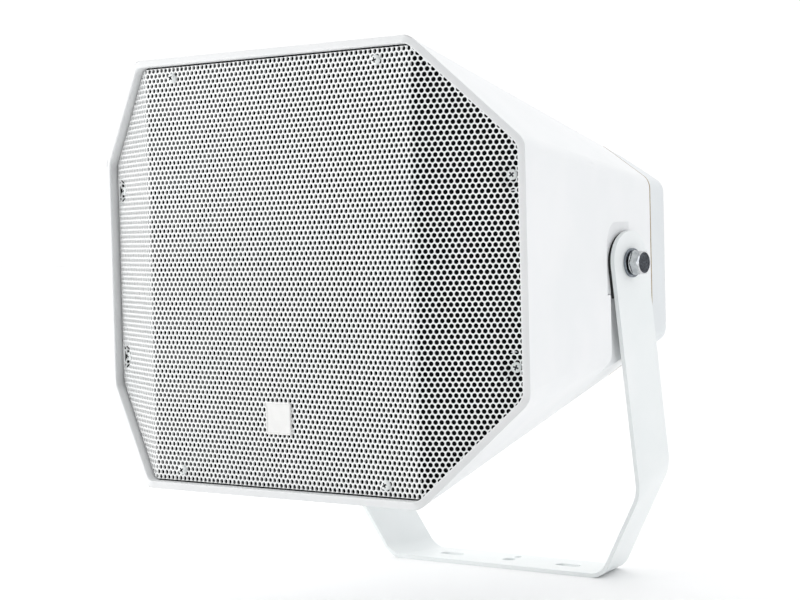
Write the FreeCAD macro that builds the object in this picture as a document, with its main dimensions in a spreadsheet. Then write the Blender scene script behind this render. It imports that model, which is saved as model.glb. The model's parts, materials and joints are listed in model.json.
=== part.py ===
"""Horn speaker on a folded steel bracket.

The origin is the middle of the underside of the bracket's base, +Z is up and the
speaker faces -Y. Speaker pieces are drawn about the pivot axis (X) and then seated
on the bracket's arms. Lengths are millimetres, angles are degrees.
"""
import FreeCAD, Part
import math
import operator
import os
from types import SimpleNamespace

import Sketcher

SIZES = {
    # Bracket, a straight strip folded four times on skewed lines
    "strip_width": 46,
    "strip_thick": 3.2,
    "arm_half_span": 138.5,
    "base_half_length": 95,
    "fold_skew": 13.1,
    "fold_slope": 60.3,
    "base_bend_radius": 16,
    "arm_bend_radius": 32,
    "fold_shift": 10.2,
    "arm_lean": 9.7,
    "pivot_height": 237.8,
    "arm_end_flat": 0.6,
    "slot_offset": 56,
    "slot_length": 22,
    "slot_width": 9,
    "centre_hole_width": 11,
    "pin_hole_width": 6,
    "pin_hole_back": 12.5,
    # Cabinet, an eight-sided horn whose mouth has swept-back wings
    "pivot_setback": 237,
    "mouth_half_width": 191.5,
    "mouth_half_height": 154,
    "mouth_side_half": 84,
    "panel_half_width": 125,
    "wing_sweep": 32,
    "seam_depth": 297,
    "seam_half_width": 122,
    "seam_half_height": 89.5,
    "seam_flat_half": 80,
    "seam_side_half": 61,
    "mouth_corner_radius": 16,
    "seam_corner_radius": 12,
    "rim_edge_bevel": 1.8,
    "rim_edge_proud": 0.04,
    "cabinet_wall": 4,
    "rim_width": 5.7,
    "ledge_width": 14,
    "ledge_thick": 6,
    "baffle_depth": 178,
    "baffle_thick": 8,
    # Pivot seats and the relief pockets that the arms swing in
    "relief_step": 3,
    "seat_front": 45,
    "seat_low": 22,
    "seat_top": 30,
    "seat_rear": 34,
    "seat_corner": 20,
    "seat_boss_radius": 22,
    "relief_front": 38,
    "insert_boss_radius": 17,
    "insert_boss_length": 24,
    # Grille, screen and badge
    "grille_recess": 6.8,
    "grille_thick": 0.8,
    "grille_margin": 1.2,
    "screen_thick": 0.8,
    "screen_margin": 0.5,
    "hole_width": 18,
    "hole_pitch": 28,
    "hole_rim": 21,
    "badge_size": 22.3,
    "badge_thick": 1.6,
    "badge_corner": 2.5,
    "badge_drop": 99,
    "panel_screw_aside": 32,
    "panel_screw_edge": 14.5,
    "wing_screw_aside": 22,
    "wing_screw_edge": 13.3,
    "dimple_radius": 11,
    "dimple_floor": 4.6,
    "dimple_depth": 3.7,
    "dimple_room": 0.3,
    "grille_screw_length": 11,
    "grille_boss_radius": 4.5,
    "grille_boss_length": 8,
    # Rear cover
    "cover_depth": 32,
    "cover_wall": 3.5,
    "cover_edge_radius": 7,
    "seam_gap": 1,
    "gasket_inset": 1.3,
    "cover_screw_x": 92,
    "cover_screw_z": 62,
    "cover_boss_radius": 7,
    "cover_boss_length": 16,
    "cover_boss_reach": 13,
    "cover_screw_sink": 13,
    "cover_screw_length": 24,
    # Small screws
    "screw_radius": 2,
    "screw_head_radius": 3.5,
    "screw_head_top": 2.5,
    "screw_head_height": 2.4,
    "screw_fit": 0.05,
    "screw_room": 0.6,
    # Pivot hardware
    "bolt_radius": 5,
    "bolt_across_flats": 17,
    "bolt_head_height": 6.6,
    "bolt_length": 30,
    "pivot_room": 0.08,
    "side_room": 0.2,
    "washer_radius": 10.7,
    "washer_thick": 2,
    "spring_washer_radius": 9,
    "spring_washer_thick": 2.5,
    "washer_room": 0.25,
    "pad_thick": 2.3,
    "pad_radius": 21,
    "insert_radius": 8,
    "insert_length": 18,
    # Driver, drawn from the front of its flange
    "driver_radius": 83,
    "driver_opening": 75,
    "gasket_thick": 2,
    "flange_thick": 1.2,
    "basket_mouth_radius": 72,
    "basket_seat_radius": 48,
    "basket_depth": 48,
    "basket_window_radius": 9.5,
    "basket_hole_radius": 21,
    "driver_screw_circle": 79,
    "driver_screw_length": 9,
    "cone_radius": 62,
    "cone_depth": 30,
    "cone_edge_depth": 1,
    "cone_thick": 1.2,
    "coil_radius": 18.6,
    "coil_thick": 0.6,
    "coil_length": 29,
    "coil_gap": 0.4,
    "cap_overlap": 1.9,
    "cap_rise": 8.4,
    "cap_shoulder_radius": 11.6,
    "cap_shoulder_rise": 6.3,
    "flex_room": 0.3,
    "flex_thick": 0.8,
    "roll_height": 4,
    "surround_lip": 2,
    "spider_radius": 45,
    "spider_lip": 4,
    "plate_radius": 46,
    "plate_thick": 5,
    "magnet_radius": 50,
    "magnet_bore": 24,
    "magnet_thick": 18,
    # Line transformer and terminals on the inside of the rear cover
    "core_width": 48,
    "core_height": 40,
    "core_stack": 16,
    "leg_width": 16,
    "window_width": 8,
    "window_height": 24,
    "winding_build": 6,
    "winding_room": 0.2,
    "transformer_lift": 32,
    "strap_width": 7,
    "strap_thick": 1.2,
    "strap_foot": 9,
    "strap_screw_length": 3.4,
    "strap_screw_radius": 1.5,
    "strap_head_radius": 2.7,
    "strap_head_top": 2,
    "strap_head_height": 1.5,
    "block_width": 44,
    "block_height": 15,
    "block_depth": 16,
    "block_step": 6,
    "block_drop": 14,
    "clamp_pitch": 10,
    "clamp_radius": 2.4,
    "clamp_length": 6,
    # Cable gland
    "gland_drop": 52,
    "gland_radius": 8,
    "gland_wall": 1.6,
    "gland_bore": 5.2,
    "gland_across_flats": 22,
    "gland_flange": 5,
    "gland_outer_length": 12,
    "gland_inner_length": 8,
    "gland_nut_radius": 10.5,
    "gland_nut_length": 9.8,
    "gland_nut_end_radius": 8.4,
    "gland_nut_taper": 4.2,
    "seal_bore": 4,
    "seal_length": 10,
    "locknut_thick": 4,
}
BASKET_WINDOWS = 6
SPIDER_WAVES = 5
BASE_MARGIN = 1
CUT_REACH = 20
HEX_SIDES = 6
COVER_EDGE_STEPS = (0, 30, 60, 90)
TOUCHING = 0.01

doc = FreeCAD.newDocument("horn_speaker")
sheet = doc.addObject("Spreadsheet::Sheet", "Sizes")
for row, (name, value) in enumerate(SIZES.items(), 1):
    sheet.set(f"A{row}", name)
    sheet.set(f"B{row}", str(value))
    sheet.setAlias(f"B{row}", name)
doc.recompute()

OPERATIONS = {"+": operator.add, "-": operator.sub, "*": operator.mul, "/": operator.truediv}


class Size:
    """A size of the sheet, or arithmetic on sizes, as a number and as an expression."""

    def __init__(self, value, text):
        self.value = float(value)
        self.text = text

    def __add__(self, other):
        return joined(self, "+", other)

    def __radd__(self, other):
        return joined(other, "+", self)

    def __sub__(self, other):
        return joined(self, "-", other)

    def __rsub__(self, other):
        return joined(other, "-", self)

    def __mul__(self, other):
        return joined(self, "*", other)

    def __rmul__(self, other):
        return joined(other, "*", self)

    def __truediv__(self, other):
        return joined(self, "/", other)

    def __neg__(self):
        return joined(-1, "*", self)


def as_size(number):
    return number if isinstance(number, Size) else Size(number, str(number))


def joined(left, sign, right):
    left = as_size(left)
    right = as_size(right)
    return Size(OPERATIONS[sign](left.value, right.value), f"({left.text} {sign} {right.text})")


def root(size):
    return Size(math.sqrt(size.value), f"sqrt({size.text})")


def tan_of(angle):
    return Size(math.tan(math.radians(angle.value)), f"tan({angle.text} * 1 deg)")


def cos_of(angle):
    return Size(math.cos(math.radians(angle.value)), f"cos({angle.text} * 1 deg)")


def half_turn(rise, run):
    """Tangent of half the angle of a slope."""
    return (root(rise * rise + run * run) - run) / rise


def tie(item, field, size):
    item.setExpression(field, as_size(size).text)


S = SimpleNamespace(**{name: Size(value, f"Sizes.{name}") for name, value in SIZES.items()})


# Sketches and features

def new_body(label):
    body = doc.addObject("PartDesign::Body", label)
    body.Label = label
    return body


def sketch_on(body, role, lift=0):
    """Empty sketch on one of the body's planes, lifted along the plane's normal."""
    sketch = body.newObject("Sketcher::SketchObject", "Sketch")
    plane = next(item for item in body.Origin.OriginFeatures if item.Role == role)
    sketch.AttachmentSupport = [(plane, "")]
    sketch.MapMode = "FlatFace"
    tie(sketch, "AttachmentOffset.Base.z", lift)
    return sketch


def measure(sketch, kind, *where, size):
    number = sketch.addConstraint(Sketcher.Constraint(kind, *where, as_size(size).value))
    tie(sketch, f"Constraints[{number}]", size)


def pin(sketch, item, spot, x, y):
    measure(sketch, "DistanceX", item, spot, size=x)
    measure(sketch, "DistanceY", item, spot, size=y)


def spot(x, y):
    return FreeCAD.Vector(as_size(x).value, as_size(y).value, 0)


def outline(sketch, corners):
    """Closed outline through corners (x, y), or (x, y, radius) where a corner is rounded."""
    count = len(corners)
    first = sketch.GeometryCount
    sharp = [spot(corner[0], corner[1]) for corner in corners]
    arrive, middle, leave = [], [], []
    for number, corner in enumerate(corners):
        back = (sharp[number - 1] - sharp[number]).normalize()
        ahead = (sharp[(number + 1) % count] - sharp[number]).normalize()
        half = back.getAngle(ahead) / 2
        radius = as_size(corner[2]).value if len(corner) > 2 else 0
        reach = radius / math.tan(half)
        arrive.append(sharp[number] + back * reach)
        leave.append(sharp[number] + ahead * reach)
        middle.append(sharp[number] + (back + ahead).normalize() * (radius / math.sin(half) - radius))
    for number in range(count):
        sketch.addGeometry(Part.LineSegment(leave[number], arrive[(number + 1) % count]), False)
    for number, corner in enumerate(corners):
        side = first + number
        before = first + (number - 1) % count
        if len(corner) == 2:
            sketch.addConstraint(Sketcher.Constraint("Coincident", before, 2, side, 1))
            pin(sketch, side, 1, corner[0], corner[1])
            continue
        arc = sketch.addGeometry(Part.Arc(arrive[number], middle[number], leave[number]), False)
        starts_here = sketch.getPoint(arc, 1).distanceToPoint(arrive[number]) < TOUCHING
        near, far = (1, 2) if starts_here else (2, 1)
        corner_point = sketch.addGeometry(Part.Point(sharp[number]), True)
        sketch.addConstraint(Sketcher.Constraint("Tangent", before, 2, arc, near))
        sketch.addConstraint(Sketcher.Constraint("Tangent", arc, far, side, 1))
        sketch.addConstraint(Sketcher.Constraint("PointOnObject", corner_point, 1, before))
        sketch.addConstraint(Sketcher.Constraint("PointOnObject", corner_point, 1, side))
        pin(sketch, corner_point, 1, corner[0], corner[1])
        measure(sketch, "Radius", arc, size=corner[2])


def circle(sketch, x, y, radius):
    ring = sketch.addGeometry(Part.Circle(spot(x, y), FreeCAD.Vector(0, 0, 1), as_size(radius).value), False)
    measure(sketch, "Radius", ring, size=radius)
    pin(sketch, ring, 3, x, y)


def slot(sketch, x, y, length, width):
    """Slot along the sketch's x axis with round ends."""
    radius = width / 2
    run = (length - width) / 2
    top = sketch.addGeometry(Part.LineSegment(spot(x + run, y + radius), spot(x - run, y + radius)), False)
    left = sketch.addGeometry(
        Part.Arc(spot(x - run, y + radius), spot(x - run - radius, y), spot(x - run, y - radius)), False)
    low = sketch.addGeometry(Part.LineSegment(spot(x - run, y - radius), spot(x + run, y - radius)), False)
    right = sketch.addGeometry(
        Part.Arc(spot(x + run, y - radius), spot(x + run + radius, y), spot(x + run, y + radius)), False)
    for one, two in ((top, left), (left, low), (low, right), (right, top)):
        sketch.addConstraint(Sketcher.Constraint("Tangent", one, 2, two, 1))
    pin(sketch, left, 3, x - run, y)
    pin(sketch, right, 3, x + run, y)
    measure(sketch, "Radius", left, size=radius)


def extrude(body, kind, sketch, length, symmetric=False, backwards=False):
    feature = body.newObject("PartDesign::" + kind, kind)
    feature.Profile = sketch
    feature.SideType = "Symmetric" if symmetric else "One side"
    feature.Reversed = backwards
    tie(feature, "Length", length)
    return feature


def loft(body, first, *others, kind="AdditiveLoft"):
    feature = body.newObject("PartDesign::" + kind, "Loft")
    feature.Profile = first
    feature.Sections = list(others)
    feature.Ruled = True
    return feature


def bevel_edges(body, feature, size, wanted):
    """Bevels the edges of the feature that the test picks."""
    doc.recompute()
    edges = [f"Edge{number}" for number, edge in enumerate(feature.Shape.Edges, 1) if wanted(edge)]
    bevel = body.newObject("PartDesign::Chamfer", "Bevel")
    bevel.Base = (feature, edges)
    tie(bevel, "Size", size)
    body.Tip = bevel


def spun(label, profile, holes=()):
    """Turned piece about the speaker's axis from (radius, y) corners, with holes (x, z, radius) along it."""
    body = new_body(label)
    sketch = sketch_on(body, "XY_Plane")
    outline(sketch, profile)
    turn = body.newObject("PartDesign::Revolution", "Revolution")
    turn.Profile = sketch
    turn.ReferenceAxis = (sketch, ["V_Axis"])
    if holes:
        through = sketch_on(body, "XZ_Plane")
        for x, z, radius in holes:
            circle(through, x, z, radius)
        extrude(body, "Pocket", through, S.seam_depth * 2, symmetric=True)
    return body


# Solids and booleans

AXES = {"X": FreeCAD.Vector(1, 0, 0), "Y": FreeCAD.Vector(0, 1, 0), "Z": FreeCAD.Vector(0, 0, 1)}


def set_down(item, place, axis=None):
    """Places an item, with its own Z axis along the given direction."""
    if axis is not None:
        item.Placement = FreeCAD.Placement(FreeCAD.Vector(), FreeCAD.Rotation(AXES["Z"], axis))
    for letter, size in zip("xyz", place):
        tie(item, f"Placement.Base.{letter}", size)
    return item


def rod(radius, length, place, axis):
    item = doc.addObject("Part::Cylinder", "Rod")
    tie(item, "Radius", radius)
    tie(item, "Height", length)
    return set_down(item, place, axis)


def cone(near_radius, far_radius, length, place, axis):
    item = doc.addObject("Part::Cone", "Taper")
    tie(item, "Radius1", near_radius)
    tie(item, "Radius2", far_radius)
    tie(item, "Height", length)
    return set_down(item, place, axis)


def hex_bar(across_flats, length, place, axis):
    item = doc.addObject("Part::Prism", "Hexagon")
    item.Polygon = HEX_SIDES
    tie(item, "Circumradius", across_flats / math.sqrt(3))
    tie(item, "Height", length)
    return set_down(item, place, axis)


def fuse(*items):
    result = doc.addObject("Part::MultiFuse", "Fusion")
    result.Shapes = list(items)
    return result


def common(one, two):
    result = doc.addObject("Part::MultiCommon", "Overlap")
    result.Shapes = [one, two]
    return result


def cut(base, tool):
    result = doc.addObject("Part::Cut", "Cut")
    result.Base = base
    result.Tool = tool
    return result


def mirrored(item):
    """The item and its mirror image across the middle plane."""
    other = doc.addObject("Part::Mirroring", "Mirror")
    other.Source = item
    other.Normal = AXES["X"]
    return [item, other]


def group(items):
    result = doc.addObject("Part::Compound", "Group")
    result.Links = list(items)
    return result


pieces = []


def keep(item, label):
    """Takes an item in as a piece that is drawn in the bracket's frame."""
    item.Label = label
    pieces.append(item)
    return item


def seat(item, label):
    """Takes an item in as a speaker piece and seats it on the pivot axis."""
    tie(item, "Placement.Base.y", PIVOT_Y)
    tie(item, "Placement.Base.z", S.pivot_height)
    return keep(item, label)


# Bracket

FOLD_RISE = tan_of(S.fold_slope)
FOLD_HEIGHT = S.strip_thick + (S.arm_half_span - S.base_half_length) * FOLD_RISE
LEAN = tan_of(S.arm_lean)
PIVOT_Y = -(S.fold_shift + (S.pivot_height - FOLD_HEIGHT) * LEAN)
ARM_END_RADIUS = S.strip_width / 2 * cos_of(S.arm_lean)
ARM_TOP = S.pivot_height + S.strip_width
HALF_SLOPE = tan_of(S.fold_slope / 2)
HALF_ARM_TURN = tan_of((90 - S.fold_slope) / 2)


def base_fold(y):
    """Half-length of the base, inside the fold, at one place across the strip."""
    return S.base_half_length - y * tan_of(S.fold_skew)


def fold_height(y):
    return S.strip_thick + (S.arm_half_span - base_fold(y)) * FOLD_RISE


def mirror_image(corners):
    """The corners on the other side of the middle, in the order that goes on round the outline."""
    return [(-x, *rest) for x, *rest in reversed(corners)]


def bracket_section(body, y):
    """Upright section through the folded strip."""
    thick = S.strip_thick
    span = S.arm_half_span
    fold = base_fold(y)
    outer_fold = fold + thick * HALF_SLOPE
    upper = fold_height(y)
    outer_upper = upper - thick * HALF_ARM_TURN
    inner = [(span, ARM_TOP), (span, upper, S.arm_bend_radius), (fold, thick, S.base_bend_radius)]
    outer = [(outer_fold, 0, S.base_bend_radius + thick),
             (span + thick, outer_upper, S.arm_bend_radius + thick), (span + thick, ARM_TOP)]
    sketch = sketch_on(body, "XZ_Plane", -y)
    outline(sketch, inner + mirror_image(inner) + mirror_image(outer) + outer)
    return sketch


def arm_middle(z):
    return PIVOT_Y + (S.pivot_height - z) * LEAN


def make_bracket():
    body = new_body("u_bracket_strip")
    half = S.strip_width / 2
    front = PIVOT_Y - S.strip_width
    rear = S.strip_width
    loft(body, bracket_section(body, front), bracket_section(body, rear))
    side = sketch_on(body, "YZ_Plane")
    outline(side, [(front - CUT_REACH, -CUT_REACH), (rear + CUT_REACH, -CUT_REACH),
                   (rear + CUT_REACH, ARM_TOP + CUT_REACH), (front - CUT_REACH, ARM_TOP + CUT_REACH)])
    front_kink = fold_height(-half)
    rear_kink = fold_height(half)
    tip = S.pivot_height + ARM_END_RADIUS / cos_of(S.arm_lean)
    tip_drop = half * LEAN
    end_radius = ARM_END_RADIUS - S.arm_end_flat
    outline(side, [(-half, -BASE_MARGIN), (half, -BASE_MARGIN), (half, S.strip_thick),
                   (arm_middle(rear_kink) + half, rear_kink),
                   (arm_middle(tip + tip_drop) + half, tip + tip_drop, end_radius),
                   (arm_middle(tip - tip_drop) - half, tip - tip_drop, end_radius),
                   (arm_middle(front_kink) - half, front_kink), (-half, S.strip_thick)])
    extrude(body, "Pocket", side, S.arm_half_span * 3, symmetric=True)
    base = sketch_on(body, "XY_Plane")
    for offset in (-S.slot_offset, S.slot_offset):
        slot(base, offset, 0, S.slot_length, S.slot_width)
    circle(base, 0, 0, S.centre_hole_width / 2)
    circle(base, 0, S.pin_hole_back, S.pin_hole_width / 2)
    extrude(body, "Pocket", base, S.strip_thick * 4, symmetric=True)
    pivots = sketch_on(body, "YZ_Plane")
    circle(pivots, PIVOT_Y, S.pivot_height, S.bolt_radius + S.pivot_room)
    extrude(body, "Pocket", pivots, S.arm_half_span * 3, symmetric=True)
    keep(body, "u_bracket")


# Cabinet

FRONT_Y = -S.pivot_setback
SEAM_Y = S.seam_depth - S.pivot_setback
BAFFLE_Y = S.baffle_depth - S.pivot_setback
BAFFLE_REAR_Y = BAFFLE_Y + S.baffle_thick
COVER_Y = SEAM_Y + S.seam_gap
COVER_REAR_Y = SEAM_Y + S.cover_depth
COVER_INSIDE_Y = COVER_REAR_Y - S.cover_wall
RECESS = S.grille_recess + S.grille_thick + S.screen_thick
RIM_CORNER = S.mouth_corner_radius - S.rim_width
SIDE_REACH = S.mouth_half_width + S.wing_sweep
SEAT_SPAN = S.arm_half_span - S.side_room - S.pad_thick
RELIEF_SPAN = SEAT_SPAN - S.relief_step


def octagon_at(depth):
    """Half sizes of the tapering horn at a depth behind its front: width, height, flat and side."""
    behind = S.seam_depth - depth
    from_wing = behind / (S.seam_depth - S.wing_sweep)
    from_front = behind / S.seam_depth
    wide = S.seam_half_width + (S.mouth_half_width - S.seam_half_width) * from_wing
    high = S.seam_half_height + (S.mouth_half_height - S.seam_half_height) * from_front
    flat = S.seam_flat_half + (S.panel_half_width - S.seam_flat_half) * from_front
    side = S.seam_side_half + (S.mouth_side_half - S.seam_side_half) * from_wing
    return wide, high, flat, side


MOUTH = (S.mouth_half_width, S.mouth_half_height, S.panel_half_width, S.mouth_side_half)


def inset(octagon, gap):
    """The octagon moved in by a gap on every side."""
    wide, high, flat, side = octagon
    rise = high - side
    run = wide - flat
    return wide - gap, high - gap, flat - gap * half_turn(rise, run), side - gap * half_turn(run, rise)


WITHIN_RIM = inset(MOUTH, S.rim_width)
FOLD_X = WITHIN_RIM[2]
WING_RUN = WITHIN_RIM[0] - FOLD_X
WING_SLOPE = S.wing_sweep / WING_RUN
WING_HALF_TURN = half_turn(S.wing_sweep, WING_RUN)
WING_LENGTH = root(S.wing_sweep * S.wing_sweep + WING_RUN * WING_RUN)


def corners_of(octagon, *radius):
    """The octagon's corners, each rounded where a radius is given."""
    wide, high, flat, side = octagon
    right = [(flat, high), (wide, side), (wide, -side), (flat, -high)]
    return [corner + radius for corner in right + mirror_image(right)]


def octagon_loft(label, *sections):
    """Straight-sided taper through octagons (octagon, y), or (octagon, y, corner radius)."""
    body = new_body(label)
    sketches = []
    for octagon, y, *radius in sections:
        sketch = sketch_on(body, "XZ_Plane", -y)
        outline(sketch, corners_of(octagon, *radius))
        sketches.append(sketch)
    loft(body, *sketches)
    return body


def octagon_prism(label, octagon, near_y, far_y, *radius):
    body = new_body(label)
    sketch = sketch_on(body, "XZ_Plane", -near_y)
    outline(sketch, corners_of(octagon, *radius))
    extrude(body, "Pad", sketch, far_y - near_y, backwards=True)
    return body


def fold_line(depth):
    """Line at a depth behind the rim's folded inner edge, from the right-hand side to the left."""
    turn = FOLD_X - depth * WING_HALF_TURN
    edge_y = FRONT_Y + depth + (SIDE_REACH - turn) * WING_SLOPE
    right = [(SIDE_REACH, edge_y), (turn, FRONT_Y + depth)]
    return right + mirror_image(right)


def upright(label, corners):
    """Upright prism over corners (x, y), taller than the cabinet."""
    body = new_body(label)
    sketch = sketch_on(body, "XY_Plane")
    outline(sketch, corners)
    extrude(body, "Pad", sketch, S.mouth_half_height * 3, symmetric=True)
    return body


def ahead_of_fold(label, depth):
    front = FRONT_Y - CUT_REACH
    return upright(label, fold_line(depth) + [(-SIDE_REACH, front), (SIDE_REACH, front)])


def behind_fold(label, depth):
    rear = SEAM_Y + CUT_REACH
    return upright(label, fold_line(depth) + [(-SIDE_REACH, rear), (SIDE_REACH, rear)])


def side_prism(label, corners, inner, outer):
    """Pair of prisms on the cabinet's sides over corners (y, z), between two half-spans."""
    body = new_body(label)
    sketch = sketch_on(body, "YZ_Plane", inner)
    outline(sketch, corners)
    extrude(body, "Pad", sketch, outer - inner)
    return mirrored(body)


def edge_middle(edge):
    return edge.valueAt((edge.FirstParameter + edge.LastParameter) / 2)


def trim_wings(body, mouth):
    """Sweeps the mouth back on both sides, so that its rim faces forward all the way round."""
    wide, high, flat, side = mouth
    lean = (high - side) / (wide - flat)
    for out in (1, -1):
        sketches = []
        for share in (as_size(-CUT_REACH) / S.wing_sweep, as_size(1)):
            x = flat + (wide - flat) * share
            z = high + (side - high) * share
            corner_x = x + CUT_REACH * lean
            corner_z = z + CUT_REACH
            sketch = sketch_on(body, "XZ_Plane", -(FRONT_Y + S.wing_sweep * share))
            middle_x = x - z * lean
            outline(sketch, [(out * corner_x, corner_z), (out * middle_x, as_size(0)), (out * corner_x, -corner_z),
                             (out * SIDE_REACH, -corner_z), (out * SIDE_REACH, corner_z)])
            sketches.append(sketch)
        trimmed = loft(body, *sketches, kind="SubtractiveLoft")
    return trimmed


def on_mouth_edge(edge):
    """Picks the edges that run round the mouth, between its front and the flanks."""
    middle = edge_middle(edge)
    depth = middle.y - FRONT_Y.value
    wide, high, flat, side = (size.value for size in octagon_at(as_size(depth)))
    past_corner = (abs(middle.x) - flat) / (wide - flat) + (abs(middle.z) - side) / (high - side) - 1
    on_flank = max(abs(middle.x) - wide, abs(middle.z) - high, past_corner) > 0
    return on_flank and depth < S.wing_sweep.value + TOUCHING


def proud_of(octagon):
    wide, high, flat, side = octagon
    return wide + S.rim_edge_proud, high + S.rim_edge_proud, flat, side


def make_outer_shell():
    """Horn with its long corners rounded and the edge of its mouth bevelled.

    The loft with the bevelled mouth edge stands a hair proud of the one with the rounded
    corners, so that the two meet along clean lines.
    """
    ahead = as_size(-CUT_REACH)
    rounded = octagon_loft("cabinet_corners", (octagon_at(ahead), FRONT_Y + ahead, S.mouth_corner_radius),
                           (octagon_at(S.seam_depth), SEAM_Y, S.seam_corner_radius))
    beyond = S.seam_depth + CUT_REACH
    edged = octagon_loft("cabinet_edges", (proud_of(octagon_at(as_size(0))), FRONT_Y),
                         (proud_of(octagon_at(beyond)), FRONT_Y + beyond))
    bevel_edges(edged, trim_wings(edged, proud_of(MOUTH)), S.rim_edge_bevel, on_mouth_edge)
    return common(rounded, edged)


def panel_screw_places():
    """Screws through the grille's centre panel: place on its front, and the way each points."""
    x = S.panel_half_width - S.panel_screw_aside
    z = S.mouth_half_height - S.panel_screw_edge
    return [((out * x, FRONT_Y + S.grille_recess, up * z), AXES["Y"]) for up in (-1, 1) for out in (-1, 1)]


def wing_screw_places():
    """Screws through the grille's wings: place on the wing's front, and the way each points."""
    x = S.mouth_half_width - S.wing_screw_edge
    y = FRONT_Y + S.grille_recess * WING_LENGTH / WING_RUN + (x - FOLD_X) * WING_SLOPE
    z = S.mouth_side_half - S.wing_screw_aside
    tilt = math.atan(WING_SLOPE.value)
    places = []
    for out in (-1, 1):
        inward = FreeCAD.Vector(-out * math.sin(tilt), math.cos(tilt), 0)
        places += [((out * x, y, up * z), inward) for up in (-1, 1)]
    return places


def along(place, axis, distance):
    """The place moved along an axis."""
    return [part + distance * step for part, step in zip(place, axis)]


def grille_screw_seats():
    """Where each grille screw's head stands, on the panel or in a dimple, and the way it points."""
    sunk = [(along(place, axis, S.dimple_depth), axis) for place, axis in wing_screw_places()]
    return panel_screw_places() + sunk


def dimples(depth, room):
    """Tapered dents round the wing screws, from a depth behind the grille's front."""
    near = S.dimple_radius + room
    far = S.dimple_floor + room
    return fuse(*[cone(near, far, S.dimple_depth + room, along(place, axis, depth), axis)
                  for place, axis in wing_screw_places()])


def cover_screw_places():
    return [(x, z) for x in (-S.cover_screw_x, S.cover_screw_x) for z in (-S.cover_screw_z, S.cover_screw_z)]


def driver_screw_places():
    offset = S.driver_screw_circle / math.sqrt(2)
    return [(x, z) for x in (-offset, offset) for z in (-offset, offset)]


def cover_boss_blocks():
    """Corner blocks inside the seam that take the cover's screws, each reaching to the wall."""
    body = new_body("cover_bosses")
    sketch = sketch_on(body, "XZ_Plane", -SEAM_Y)
    run = S.seam_half_width - S.seam_flat_half
    rise = S.seam_half_height - S.seam_side_half
    length = root(run * run + rise * rise)
    out_x, out_z = rise / length, run / length
    half = S.cover_boss_radius
    reach = S.cover_boss_reach
    for across in (-1, 1):
        for up in (-1, 1):
            corners = []
            for outward, aside in ((-half, -half), (-half, half), (reach, half), (reach, -half)):
                x = S.cover_screw_x + outward * out_x + aside * out_z
                z = S.cover_screw_z + outward * out_z - aside * out_x
                corners.append((across * x, up * z))
            outline(sketch, corners)
    extrude(body, "Pad", sketch, S.cover_boss_length)
    return body


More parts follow.
